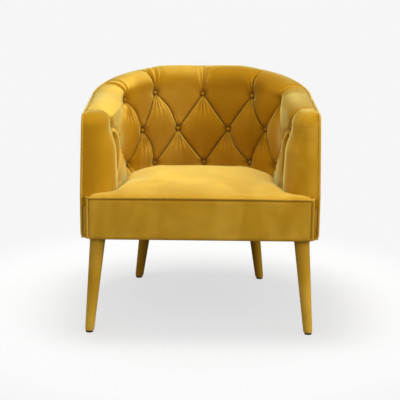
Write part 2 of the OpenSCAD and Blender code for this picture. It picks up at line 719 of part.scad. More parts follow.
// Uprights from the back rail to the top rail: a post in each corner and two slats between
slat_w = 40;
slat_t = 20;
post_s = back_pitch + corner_pitch;
slat_s = strap_w * (back_r - station_d) / back_r;
module upright(s, width, depth, play = 0) {
    p = plan(s, frame_d + 1);
    translate([p[0], p[1], rail_top_z]) rotate([0, 0, -sign(s) * heading(s)])
        translate([-width / 2 - play, -depth - play, 0])
            cube([width + 2 * play, depth + 2 * play, back_z - rail_top_z]);
}
module cut_under_rail() {
    intersection() {
        children();
        under_rim(rail_drop, climb_y, back_y + 1, rail_top_z);
    }
}
module rear_post() {
    color(timber) cut_under_rail() upright(post_s, post_t, rail_t);
}
module back_slats() {
    color(timber) cut_under_rail() for (side = [-1, 1]) upright(side * slat_s, slat_w, slat_t);
}

// Lower rail that the inner covers are tacked to, in lengths between the uprights
tack_h = 22;
tack_t = 18;
module tack_rail() {
    color(timber) difference() {
        translate([0, 0, pad_bottom_z - tack_h / 2]) linear_extrude(tack_h)
            tub_wall(frame_d + 1, frame_d + 1 + tack_t, side_rail_end_y);
        for (side = [-1, 1]) {
            upright(side * post_s, post_t, rail_t, gap);
            upright(side * slat_s, slat_w, slat_t, gap);
        }
    }
}
module dust_cover() {
    cloth_t = 1;
    color("black") translate([0, 0, under_z - cloth_t - gap]) linear_extrude(cloth_t) difference() {
        tub_area(frame_d, seat_front_y + 2);
        for (front = [true, false], side = [-1, 1])
            translate([leg_head(front, side)[0], leg_head(front, side)[1]])
                circle(d = leg_top_dia + 6, $fn = 48);
    }
}

outer_cover();
outer_board();
outer_piping();
mirror([1, 0, 0]) side_strip();  // left_side_strip
side_strip();  // right_side_strip
pad(-2, 2, 12);  // back_pad
mirror([1, 0, 0]) pad(2, 3, 16);  // left_arm_pad
pad(2, 3, 16);  // right_arm_pad
mirror([1, 0, 0]) arm_front();  // left_arm_front
arm_front();  // right_arm_front
back_buttons();
arm_buttons(-1);  // left_arm_buttons
arm_buttons(1);  // right_arm_buttons
foam_wall(climb_y + gap, back_y + 1);  // back_foam
one_side(-1) foam_wall(slab_front_y, climb_y);  // left_arm_foam
one_side(1) foam_wall(slab_front_y, climb_y);  // right_arm_foam
seat_cover();
front_border();
seat_piping();
border_pipings();
seat_foam();
seat_lining();
webbing_lengthwise();
webbing_crosswise();
front_rail();
mirror([1, 0, 0]) side_rail();  // left_rail
side_rail();  // right_rail
back_rail();
front_plank();
rear_plank();
mirror([1, 0, 0]) arm_stump();  // left_arm_stump
arm_stump();  // right_arm_stump
mirror([1, 0, 0]) rear_post();  // left_rear_post
rear_post();  // right_rear_post
back_slats();
one_side(-1) top_rail(rail_front_y, climb_y);  // left_arm_rail
one_side(1) top_rail(rail_front_y, climb_y);  // right_arm_rail
top_rail(climb_y, back_y + 1);  // back_top_rail
tack_rail();
dust_cover();
leg(true, -1);  // front_left_leg
leg(true, 1);  // front_right_leg
leg(false, -1);  // rear_left_leg
leg(false, 1);  // rear_right_leg
sleeve(true, -1);  // front_left_sleeve
sleeve(true, 1);  // front_right_sleeve
sleeve(false, -1);  // rear_left_sleeve
sleeve(false, 1);  // rear_right_sleeve
glide(true, -1);  // front_left_glide
glide(true, 1);  // front_right_glide
glide(false, -1);  // rear_left_glide
glide(false, 1);  // rear_right_glide
leg_bolts();
leg_nuts();
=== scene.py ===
"""Looks of a low buttoned tub chair, built around its packed solids. Metres, +Z up."""
import json
import math
from contextlib import contextmanager

import bmesh
import bpy
import numpy as np
from bpy.props import FloatProperty, FloatVectorProperty, IntProperty
from mathutils import Euler, Matrix, Vector
from mathutils.geometry import delaunay_2d_cdt

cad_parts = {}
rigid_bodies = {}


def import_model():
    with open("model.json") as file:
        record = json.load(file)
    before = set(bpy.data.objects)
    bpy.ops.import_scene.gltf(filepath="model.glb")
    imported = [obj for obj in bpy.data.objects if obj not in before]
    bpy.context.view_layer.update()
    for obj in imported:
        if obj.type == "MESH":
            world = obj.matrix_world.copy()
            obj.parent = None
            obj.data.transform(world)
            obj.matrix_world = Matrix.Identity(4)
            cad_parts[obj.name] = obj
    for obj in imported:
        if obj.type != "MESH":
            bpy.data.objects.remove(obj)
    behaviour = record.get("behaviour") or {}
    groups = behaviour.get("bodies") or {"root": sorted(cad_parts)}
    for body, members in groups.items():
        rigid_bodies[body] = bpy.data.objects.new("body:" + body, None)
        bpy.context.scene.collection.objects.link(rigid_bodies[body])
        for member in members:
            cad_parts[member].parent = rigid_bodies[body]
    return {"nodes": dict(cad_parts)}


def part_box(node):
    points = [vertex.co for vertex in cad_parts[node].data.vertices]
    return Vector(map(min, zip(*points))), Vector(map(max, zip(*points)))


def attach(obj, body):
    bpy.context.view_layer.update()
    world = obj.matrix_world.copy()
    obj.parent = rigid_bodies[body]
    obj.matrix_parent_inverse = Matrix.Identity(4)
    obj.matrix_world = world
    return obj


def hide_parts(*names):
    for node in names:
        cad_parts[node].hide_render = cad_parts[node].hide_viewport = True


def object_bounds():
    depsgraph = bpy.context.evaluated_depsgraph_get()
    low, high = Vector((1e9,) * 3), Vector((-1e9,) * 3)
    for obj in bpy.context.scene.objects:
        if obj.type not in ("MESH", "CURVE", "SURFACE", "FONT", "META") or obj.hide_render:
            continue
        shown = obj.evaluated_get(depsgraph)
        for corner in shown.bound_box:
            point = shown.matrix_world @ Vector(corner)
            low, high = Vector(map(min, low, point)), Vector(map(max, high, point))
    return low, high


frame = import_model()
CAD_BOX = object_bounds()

bl_info = {
    "name": "Buttoned Tub Chair",
    "version": (1, 0, 0),
    "blender": (4, 5, 0),
    "location": "3D View > Sidebar > Chair",
    "description": "Dresses the solids of a buttoned tub chair in velvet",
    "category": "Object",
}

BODY = "root"
SEED = 7
SIDES = (-1, "left"), (1, "right")
LEGS = tuple(f"{end}_{word}" for end in ("front", "rear") for _, word in SIDES)
BACKDROP = (0.922, 0.922, 0.922)


def length(name, description, default):
    return FloatProperty(name=name, description=description, default=default, unit="LENGTH",
                         precision=4)


def number(name, description, default):
    return FloatProperty(name=name, description=description, default=default)


def angle(name, description, degrees):
    return FloatProperty(name=name, description=description, default=math.radians(degrees),
                         unit="ROTATION")


def share(name, description, default):
    return FloatProperty(name=name, description=description, default=default, min=0.0, max=1.0)


def colour(name, description, default):
    return FloatVectorProperty(name=name, description=description, default=default, subtype="COLOR",
                               size=3, min=0.0, max=1.0)


class TubSizes(bpy.types.PropertyGroup):
    """Plan curve, rim and pads of the tub"""
    half_width: length("Half width", "Half of the width over the outer piping", CAD_BOX[1].x)
    back_y: length("Back", "Place of the outer back", CAD_BOX[1].y)
    corner_radius: length("Corner radius", "Radius of the two rear corners", 0.23)
    back_half_angle: angle("Back half angle", "Half of the angle of the shallow back arc", 25)
    back_height: length("Back height", "Height of the rim at the middle of the back", 0.736)
    arm_height: length("Arm height", "Height of the arm rim", 0.669)
    rim_tilt: number("Rim tilt", "Rise of the rim per metre to +X", 0.010)
    pleat_fan: length("Pleat fan", "How far the pleats fan out as they cross the rim", 0.036)
    front_step: length("Front step", "Drop from the arm's top to the top of its front", 0.006)
    waist_depth: length("Waist", "How far the arm front is drawn in at its top", 0.022)
    front_slim: length("Front slimness", "How far the arm front is drawn in low down", 0.008)
    arm_slope: number("Arm slope", "Rise of the arm rim per metre", 0.056)
    climb_y: length("Climb start", "Place on the arm where the rim starts to climb", 0.0595)
    climb_power: number("Climb power", "How the rim climbs", 1.5)
    flat_top: length("Flat top", "Stretch at the back over which the rim is level", 0.021)
    base_height: length("Base height", "Height of the underside of the frame", 0.292)
    face_distance: length("Pad face", "Inner face of the pads from the outline, at the rim", 0.098)
    back_lean: number("Back lean", "Extra pad per metre of drop, back", 0.16)
    arm_lean: number("Arm lean", "Extra pad per metre of drop, arms", 0.05)
    rim_pad: length("Rim padding", "Padding over the top rails", 0.034)
    pad_outer: length("Pad outer edge", "Outer edge of the rolled rim from the outline", 0.0072)
    pad_back: length("Pad back", "Back of the pads from the outline", 0.0578)
    crown_distance: length("Crown", "Highest line of the rolled rim from the outline", 0.042)
    edge_drop: length("Edge drop", "Drop from the crown to the piping", 0.009)
    pleat_y: length("Front pleat", "Place of the pleat that starts the arm front", -0.1505)
    nose_y: length("Arm nose", "Middle of the rounded arm front at seat height", -0.2225)
    rake: number("Rake", "How far the arm front leans back per metre", 0.22)
    nose_ratio: share("Nose ratio", "Depth of the arm front's rounding for its width", 0.85)
    pivot_distance: length("Pivot", "Line that the arm front turns about, from the outline", 0.0073)


class ButtoningSizes(bpy.types.PropertyGroup):
    """Lattice of buttons and the folds between them"""
    back_pitch: length("Back spacing", "Spacing of the buttons across the back", 0.172)
    corner_pitch: length("Corner spacing", "Spacing of the buttons round a corner", 0.138)
    top_row: length("Top row", "Height of the top row at the back", 0.649)
    middle_row: length("Middle row", "Height of the middle row", 0.5355)
    bottom_row: length("Bottom row", "Height of the bottom row", 0.418)
    row_fall: length("Row fall", "How far the top row falls along an arm", 0.050)
    fold_depth: length("Fold depth", "Depth of the folds between buttons", 0.019)
    button_pull: length("Button pull", "Extra depth at a button", 0.013)
    button_diameter: length("Button diameter", "Diameter of a covered button", 0.0125)
    gather: length("Gathers", "Height of the small gathers round a button", 0.0056)
    columns: IntProperty(name="Columns", default=120, min=24, max=128,
                         description="Mesh columns between two buttons")


class SeatSizes(bpy.types.PropertyGroup):
    """Crowned seat, its border and its piping"""
    height: length("Seat height", "Height of the seat's front edge", 0.422)
    crown: length("Crown", "Height of the crown above the front edge", 0.024)
    crown_y: length("Crown place", "Place of the crown", -0.0405)
    rear_drop: length("Rear drop", "Drop from the crown to the rear edge", 0.050)
    side_drop: length("Side drop", "Drop from the middle to the arms", 0.034)
    front_y: length("Front", "Front face of the border", CAD_BOX[0].y)
    border_width: length("Border width", "Width of the border between its pipings", 0.650)
    border_thickness: length("Border thickness", "Thickness of the border", 0.008)
    piping_radius: length("Piping radius", "Radius of the piping", 0.0035)


class LegSizes(bpy.types.PropertyGroup):
    """Sleeved legs"""
    top_diameter: length("Top diameter", "Diameter of a leg at the top", 0.046)
    bottom_diameter: length("Bottom diameter", "Diameter of a leg at the bottom", 0.027)
    glide: length("Glide", "Thickness of the glide", 0.004)


class ChairColours(bpy.types.PropertyGroup):
    """Base colours of the finishes"""
    velvet: colour("Velvet", "Velvet seen square on", (0.42, 0.202, 0.004))
    # pale velvet, for random brushed patches and for painted highlight where light falls
    velvet_light: colour("Velvet light", "Velvet whose nap lies to the light", (0.95, 0.60, 0.090))
    # dark velvet, for painted shade in folds, creases and other shaded places
    velvet_dark: colour("Velvet dark", "Velvet in the folds", (0.215, 0.085, 0.001))
    nap: colour("Nap", "Tint of the light that the nap scatters", (1.0, 0.98, 0.34))
    timber: colour("Timber", "Frame timber", (0.52, 0.33, 0.16))
    floor: colour("Floor", "Floor and background", (0.90, 0.90, 0.90))


class StageSettings(bpy.types.PropertyGroup):
    """Camera, lamps and floor"""
    camera: FloatVectorProperty(name="Camera", description="Place of the camera", size=3,
                                default=(-0.0006, -3.3525, 1.1457), subtype="TRANSLATION")
    pitch: angle("Pitch", "Angle below the horizon", 13.577)
    roll: angle("Roll", "Turn of the camera about its own line of sight", 0.65)
    lens: FloatProperty(name="Lens", description="Focal length", default=96.84, unit="CAMERA")


GROUPS = {"chair_tub": TubSizes, "chair_buttons": ButtoningSizes, "chair_seat": SeatSizes,
          "chair_legs": LegSizes, "chair_colours": ChairColours, "chair_stage": StageSettings}


# ---------------------------------------------------------------- node trees


class Value:
    """A socket that can be written into an expression."""

    def __init__(self, tree, socket):
        self.tree, self.socket = tree, socket

    def maths(self, operation, *others, clamp=False):
        return self.tree.node("ShaderNodeMath", {"operation": operation, "use_clamp": clamp},
                              dict(enumerate((self, *others))))

    def __add__(self, other):
        return self.maths("ADD", other)

    __radd__ = __add__

    def __mul__(self, other):
        return self.maths("MULTIPLY", other)

    __rmul__ = __mul__

    def __sub__(self, other):
        return self.maths("SUBTRACT", other)

    def __rsub__(self, other):
        return self.tree.node("ShaderNodeMath", {"operation": "SUBTRACT"}, {0: other, 1: self})

    def __pow__(self, other):
        return self.maths("POWER", other)

    def __neg__(self):
        return self * -1.0

    def sin(self):
        return self.maths("SINE")

    def clamped(self):
        return self.maths("ADD", 0.0, clamp=True)

    def most(self, other):
        return self.maths("MAXIMUM", other)

    def step(self, low, high):
        """0 below low, 1 above high, smooth between them."""
        return self.tree.node("ShaderNodeMapRange", {"interpolation_type": "SMOOTHSTEP"},
                              {0: self, 1: low, 2: high})

    def part(self, axis):
        return self.tree.node("ShaderNodeSeparateXYZ", {}, {0: self}, out=axis)


class Nodes:
    """A node tree, and the single way that its nodes are made."""

    def __init__(self, tree):
        self.tree = tree
        tree.nodes.clear()

    def node(self, kind, settings, inputs, out=0):
        made = self.tree.nodes.new(kind)
        for key, value in settings.items():
            setattr(made, key, value)
        for key, value in inputs.items():
            socket = made.inputs[key]
            if isinstance(value, Value):
                self.tree.links.new(value.socket, socket)
            elif isinstance(value, tuple) and len(value) < len(socket.default_value):
                socket.default_value = (*value, 1.0)
            else:
                socket.default_value = value
        return Value(self, made.outputs[out]) if made.outputs else made

    def ray(self, kind):
        return self.node("ShaderNodeLightPath", {}, {}, out=f"Is {kind} Ray")

    def either(self, factor, first, second):
        """The first shader where the factor is 0, and the second where it is 1."""
        return self.node("ShaderNodeMixShader", {}, {0: factor, 1: first, 2: second})


class Finish(Nodes):
    """The nodes of one material."""

    def __init__(self, name):
        self.material = bpy.data.materials.new(name)
        self.material.use_nodes = True
        super().__init__(self.material.node_tree)
        self.point = self.node("ShaderNodeTexCoord", {}, {}, out="Object")

    def attribute(self, name):
        return self.node("ShaderNodeAttribute", {"attribute_name": name}, {}, out="Fac")

    def noise(self, scale, detail=3.0, roughness=0.5, distortion=0.0, stretch=None):
        """Noise over the piece, squeezed along each axis by the factors of stretch."""
        point = self.point
        if stretch:
            point = self.node("ShaderNodeMapping", {}, {0: point, "Scale": stretch})
        return self.node("ShaderNodeTexNoise", {}, {
            "Vector": point, "Scale": scale, "Detail": detail, "Roughness": roughness,
            "Distortion": distortion})

    def cells(self, scale):
        return self.node("ShaderNodeTexVoronoi", {}, {"Vector": self.point, "Scale": scale})

    def blend(self, factor, first, second, kind="MIX"):
        return self.node("ShaderNodeMix", {"data_type": "RGBA", "blend_type": kind},
                         {0: factor, 6: first, 7: second}, out=2)

    def bump(self, height, strength, distance):
        return self.node("ShaderNodeBump", {}, {
            "Height": height, "Strength": strength, "Distance": distance})

    def surface(self, shader):
        self.node("ShaderNodeOutputMaterial", {}, {"Surface": shader})
        return self.material

    def close(self, **sockets):
        """The shader and the output. Sockets are named as on the shader, with _ for a space."""
        return self.surface(self.node("ShaderNodeBsdfPrincipled", {}, {
            key.replace("_", " "): value for key, value in sockets.items()}))


class Shapes(Nodes):
    """A geometry node tree with named inputs, each with its kind and its value if none is given."""

    def __init__(self, title, **inputs):
        tree = bpy.data.node_groups.new(title, "GeometryNodeTree")
        super().__init__(tree)
        tree.is_modifier = True
        for way in ("INPUT", "OUTPUT"):
            tree.interface.new_socket("Geometry", in_out=way, socket_type="NodeSocketGeometry")
        self.ids = {}
        for name, (kind, default) in inputs.items():
            socket = tree.interface.new_socket(name, in_out="INPUT",
                                               socket_type="NodeSocket" + kind)
            if default is not None:
                socket.default_value = default
            self.ids[name] = socket.identifier
        entry = self.node("NodeGroupInput", {}, {}).socket.node
        self.entry = {socket.name: Value(self, socket) for socket in entry.outputs}

    def end(self, geometry):
        """Realizes instances, sets the material and closes the tree."""
        real = self.node("GeometryNodeRealizeInstances", {}, {0: geometry})
        self.node("NodeGroupOutput", {}, {0: self.node("GeometryNodeSetMaterial", {}, {
            "Geometry": real, "Material": self.entry["Material"]})})
        return self

    def run(self, name, points, edges=(), turns=None, **values):
        """Evaluates the tree on points and returns the result as a plain mesh object."""
        base = new_piece("points", points, [], edges=edges)
        if turns is not None:
            layer = base.data.attributes.new("turn", "FLOAT_VECTOR", "POINT")
            layer.data.foreach_set("vector", np.asarray(turns, np.float32).reshape(-1))
        modifier = base.modifiers.new("tree", "NODES")
        modifier.node_group = self.tree
        for key, value in values.items():
            modifier[self.ids[key]] = value
        graph = bpy.context.evaluated_depsgraph_get()
        mesh = bpy.data.meshes.new_from_object(base.evaluated_get(graph), depsgraph=graph)
        mesh.name = name
        base.modifiers.remove(modifier)
        discard(base)
        return linked(name, mesh)


def velvet(name, lift):
    """Cut-pile velvet: a dark ground, a pile whose sheen catches grazing light, brushed patches,
    and painted shade and painted highlight from each piece's attributes.
    """
    tints = bpy.context.scene.chair_colours
    f = Finish(name)
    brushed = f.noise(7.0, 3.0, 0.55, 0.6, stretch=(1.0, 1.0, 0.6)).step(0.36, 0.66)
    crushed = f.noise(38.0, 4.0, 0.6, 0.4)
    tufts = f.noise(1500.0, 2.0, 0.6)
    fold = f.attribute("fold")
    nap = f.attribute("nap")
    # lighter for random brushed and crushed patches, and for painted highlight: the piece's painted
    # light, the negative part of its painted shading, and each copy's lift
    paler = brushed * 0.21 + crushed * 0.12 + nap + (-fold).clamped() * 0.8 + (lift - 0.05)
    ground = f.blend(paler, tuple(tints.velvet), tuple(tints.velvet_light))
    # painted shade: darker towards the dark velvet where the piece's painted shading is above zero
    ground = f.blend((fold * 0.9).clamped(), ground, tuple(tints.velvet_dark))
    ground = f.blend(tufts.step(0.35, 0.75) * 0.3, ground, (0.55, 0.53, 0.45), "MULTIPLY")
    return f.close(Base_Color=ground, Roughness=0.72 + crushed * 0.2,
                   Normal=f.bump(tufts * 0.5 + crushed * 0.5, 0.35, 0.0006),
                   Specular_IOR_Level=0.05, Sheen_Weight=0.9, Sheen_Roughness=0.36,
                   Sheen_Tint=tuple(tints.nap))


def timber_finish(name):
    tints = bpy.context.scene.chair_colours
    f = Finish(name)
    growth = f.noise(2.2, 4.0, 0.6, 0.8, stretch=(3.0, 30.0, 30.0))
    rings = (growth * 24.0).sin() * 0.5 + 0.5
    pores = f.noise(2.0, 2.0, stretch=(20.0, 260.0, 260.0))
    pale = tuple(tints.timber)
    dark = tuple(c * 0.62 for c in pale)
    ground = f.blend(rings * 0.5 + pores.step(0.55, 0.75) * 0.3, pale, dark)
    normal = f.bump(rings * 0.4 + pores, 0.25, 0.0004)
    return f.close(Base_Color=ground, Roughness=0.62 + pores * 0.18, Normal=normal)


def woven_finish(name, first, second, pitch, rough=0.85, bare=0.5):
    """Plain weave or rows of yarn at a real pitch, for lining, webbing, cambric and board."""
    f = Finish(name)
    turns = 2.0 * math.pi / pitch
    warp = (f.point.part(0) * turns).sin()
    weft = (f.point.part(1) * turns).sin()
    rise = (f.point.part(2) * turns).sin()
    weave = (warp * weft).most(warp * rise) * 0.5 + 0.5
    worn = f.noise(60.0, 3.0)
    ground = f.blend(weave * bare + worn * 0.3, first, second)
    normal = f.bump(weave, 0.3, pitch * 0.3)
    return f.close(Base_Color=ground, Roughness=rough - worn * 0.08, Normal=normal)


def foam_finish(name):
    f = Finish(name)
    pores = f.cells(620.0).step(0.1, 0.6)
    stain = f.noise(9.0, 3.0)
    ground = f.blend(stain * 0.5, (0.80, 0.74, 0.56), (0.66, 0.56, 0.36))
    # painted shade in the pores
    ground = f.blend((1.0 - pores) * 0.3, ground, (0.42, 0.34, 0.2))
    return f.close(Base_Color=ground, Roughness=0.9 - pores * 0.05,
                   Normal=f.bump(pores, 0.5, 0.0006))


def steel_finish(name):
    f = Finish(name)
    brushed = f.noise(9.0, 3.0, stretch=(90.0, 90.0, 8.0))
    spots = f.noise(140.0, 2.0).step(0.55, 0.8)
    ground = f.blend(spots, (0.60, 0.60, 0.62), (0.42, 0.41, 0.40))
    return f.close(Base_Color=ground, Metallic=1.0, Roughness=0.28 + brushed * 0.2 + spots * 0.15,
                   Normal=f.bump(brushed, 0.1, 0.0002))


def plastic_finish(name):
    f = Finish(name)
    grain = f.noise(900.0, 2.0)
    scuffs = f.noise(150.0, 3.0, stretch=(1.0, 6.0, 1.0)).step(0.55, 0.8)
    ground = f.blend(scuffs * 0.6, (0.030, 0.020, 0.012), (0.10, 0.075, 0.05))
    return f.close(Base_Color=ground, Roughness=0.5 + scuffs * 0.25,
                   Normal=f.bump(grain, 0.2, 0.0002))


# ---------------------------------------------------------------- the tub's own geometry


def mix(a, b, t):
    return a + (b - a) * t


def ease(t):
    t = np.clip(t, 0.0, 1.0)
    return t * t * (3.0 - 2.0 * t)


class Tub:
    """Plan curve, rim and button lattice, in metres.

    A station s is a length along the tub from the middle of its back, measured STATION_D inside
    the outline. A lattice point is a column u and a row v. Whole columns have a button in rows 0
    and -2, and half columns in row -1.
    """

    STATION_D = 0.075
    # how the top row falls towards the arms, and how much of the height over it the roll takes
    FALL_POWER, ROLL_SHARE = 1.2, 0.72
    LEAN_FROM, LEAN_TO = 0.15, 0.35
    # how far the pads go down behind the seat's edge
    TUCK = 0.034

    def __init__(self):
        scene = bpy.context.scene
        self.g, self.b, self.seat = scene.chair_tub, scene.chair_buttons, scene.chair_seat
        g, b = self.g, self.b
        angle = g.back_half_angle
        self.back_r = (g.half_width - g.corner_radius) / math.sin(angle) + g.corner_radius
        self.back_cy = g.back_y - self.back_r
        self.side_y = self.back_cy + math.cos(angle) * (self.back_r - g.corner_radius)
        self.back_s = (self.back_r - self.STATION_D) * angle
        self.corner_s = self.back_s + (g.corner_radius - self.STATION_D) * (math.pi / 2 - angle)
        self.climb_end = g.back_y - g.flat_top
        self.climb = g.back_height - g.arm_height - g.arm_slope * self.climb_end
        self.pleat_s = self.station_at(g.pleat_y)
        self.arm_pitch = self.pleat_s - b.back_pitch - b.corner_pitch
        self.bottom_z = self.seat.height - self.TUCK
        self.fit_hand()

    # how far hand work has moved a button, or the middle of a fold, in mm along the tub and upwards
    HAND = {(-1, 0): (10, 3), (0, 0): (5, -3), (1, 0): (7, -4), (-1.5, -1): (22, -6),
            (-0.5, -1): (2, -3), (0.5, -1): (13, -4), (1.5, -1): (3, 4), (-1, -2): (-5, 3),
            (0, -2): (13, 2), (1, -2): (18, 8), (-2, 0): (20, -3), (2, 0): (9, 10),
            (-2.5, -1): (10, 0), (2.5, -1): (-10, -3), (-2, -2): (15, 4), (2, -2): (0, 8),
            (-0.75, -0.5): (15, 7), (-1.75, -0.5): (28, 6), (-1.25, -1.5): (18, 6),
            (1.25, -0.5): (-2, -6), (0.75, -1.5): (9, -3),
            **{(u, v): (0, 0) for v in (0, -1, -2, 1) for u in (-3, 3)},
            (-2, 1.4): (6, 0), (2, 1.4): (0, 0), (-1, 1.4): (2, 0), (0, 1.4): (6, 0),
            (1, 1.4): (2, 0), (0.5, 1.4): (5, 0), (-0.5, 1.4): (5, 0)}
    # rows count for less than columns in the distance between two lattice points
    SQUASH = 0.7

    def fit_hand(self):
        """Solves a thin-plate warp through the moved points."""
        keys = np.array(list(self.HAND), float) * (1.0, self.SQUASH)
        values = np.array(list(self.HAND.values()), float) * 0.001
        count = len(keys)
        system = np.zeros((count + 3, count + 3))
        system[:count, :count] = self.plate(keys[:, None] - keys[None])
        system[:count, count:] = np.column_stack([np.ones(count), keys])
        system[count:, :count] = system[:count, count:].T
        self.hand_keys = keys
        self.hand_fit = np.linalg.solve(system, np.vstack([values, np.zeros((3, 2))]))

    @staticmethod
    def plate(gap):
        square = (gap ** 2).sum(-1)
        return square * np.log(square + 1e-12)

    def hand(self, u, v):
        """Shift along the tub and upwards at lattice point u, v. It dies out at the arm fronts."""
        u, v = np.broadcast_arrays(np.asarray(u, float), np.asarray(v, float))
        v = np.clip(v, -2.2, 1.6)
        at = np.stack([u, v * self.SQUASH], axis=-1)
        fit = self.hand_fit
        total = fit[-3] + at[..., :1] * fit[-2] + at[..., 1:] * fit[-1]
        for key, weight in zip(self.hand_keys, fit):
            total = total + self.plate(at - key)[..., None] * weight
        calm = ease((3.0 - np.abs(u)) / 0.5)
        rise = ease((1.0 - v) / 0.6) * ease((v + 2.25) / 0.25)
        fan = self.g.pleat_fan * np.sin(np.clip(np.abs(u), 0, 2) * math.pi / 2) * np.sign(u)
        along = total[..., 0] * calm + fan * np.clip(v / 1.45, 0, 1) ** 2
        return along, total[..., 1] * calm * rise

    def station_at(self, y):
        return self.corner_s + self.side_y - y

    def heading(self, s):
        m = np.abs(s)
        back = m / (self.back_r - self.STATION_D)
        past = (m - self.back_s) / (self.g.corner_radius - self.STATION_D)
        corner = self.g.back_half_angle + past
        return np.where(m < self.back_s, back, np.where(m < self.corner_s, corner, math.pi / 2))

    def plan(self, s, d):
        """Plan point at station s, a distance d inside the outline."""
        s, d = np.broadcast_arrays(np.asarray(s, float), np.asarray(d, float))
        a, side, m = self.heading(s), np.where(s < 0, -1.0, 1.0), np.abs(s)
        g = self.g
        back_x, back_y = (self.back_r - d) * np.sin(a), self.back_cy + (self.back_r - d) * np.cos(a)
        corner_x = g.half_width - g.corner_radius + (g.corner_radius - d) * np.sin(a)
        corner_y = self.side_y + (g.corner_radius - d) * np.cos(a)
        side_x, side_y = g.half_width - d, self.side_y + self.corner_s - m
        on_back, on_corner = m < self.back_s, m < self.corner_s
        x = side * np.where(on_back, back_x, np.where(on_corner, corner_x, side_x))
        y = np.where(on_back, back_y, np.where(on_corner, corner_y, side_y))
        return x, y

    def rim_z(self, x, y):
        """Height of the rim, a little higher towards +X."""
        g = self.g
        t = np.clip((y - g.climb_y) / (self.climb_end - g.climb_y), 0.0, 1.0)
        level = g.arm_height + g.arm_slope * np.minimum(y, self.climb_end)
        return level + self.climb * t ** g.climb_power + g.rim_tilt * x

    def rim_at(self, s):
        return self.rim_z(*self.plan(s, 0.0))

    def column_s(self, u):
        m, b = np.abs(u), self.b
        return np.sign(u) * (b.back_pitch * np.minimum(m, 1) + b.corner_pitch * np.clip(m - 1, 0, 1)
                             + self.arm_pitch * np.maximum(m - 2, 0))

    def pitch(self, u):
        m = np.abs(u)
        outer = np.where(m < 2, self.b.corner_pitch, self.arm_pitch)
        return np.where(m < 1, self.b.back_pitch, outer)

    def top_z(self, s):
        far = np.maximum(0.0, np.abs(s) - self.b.back_pitch) / (self.pleat_s - self.b.back_pitch)
        return self.b.top_row - self.b.row_fall * far ** self.FALL_POWER

    def row_z(self, s, v):
        upper = mix(self.top_z(s), self.b.middle_row, -v)
        lower = mix(self.b.middle_row, self.b.bottom_row, -v - 1.0)
        return np.where(v > -1.0, upper, lower)

    def lattice(self, u, v):
        """Station and height of a lattice point at or below the top row, as it was sewn."""
        along, up = self.hand(u, v)
        s = self.column_s(u) + along
        return s, self.row_z(s, v) + up

    def roll_h(self, s):
        return self.ROLL_SHARE * (self.rim_at(s) - self.top_z(s))

    def lean(self, s):
        return mix(self.g.back_lean, self.g.arm_lean,
                   ease((np.abs(s) - self.LEAN_FROM) / (self.LEAN_TO - self.LEAN_FROM)))

    def face_d(self, s, z):
        return self.g.face_distance + self.lean(s) * (self.rim_at(s) - z)

    def pivot_y(self, z):
        return self.g.nose_y + self.g.rake * np.maximum(0.0, z - self.seat.height)

    def waist(self, d, z):
        """Distance from the outline of the smooth arm front, drawn in at its top."""
        g, middle = self.g, self.b.middle_row
        up = (z - middle) / (float(self.top_z(self.pleat_s)) - middle)
        drawn = mix(g.front_slim, g.waist_depth, ease(up))
        share_d = np.clip((d - g.crown_distance) / (g.face_distance - g.crown_distance), 0.0, 1.0)
        return d - drawn * share_d


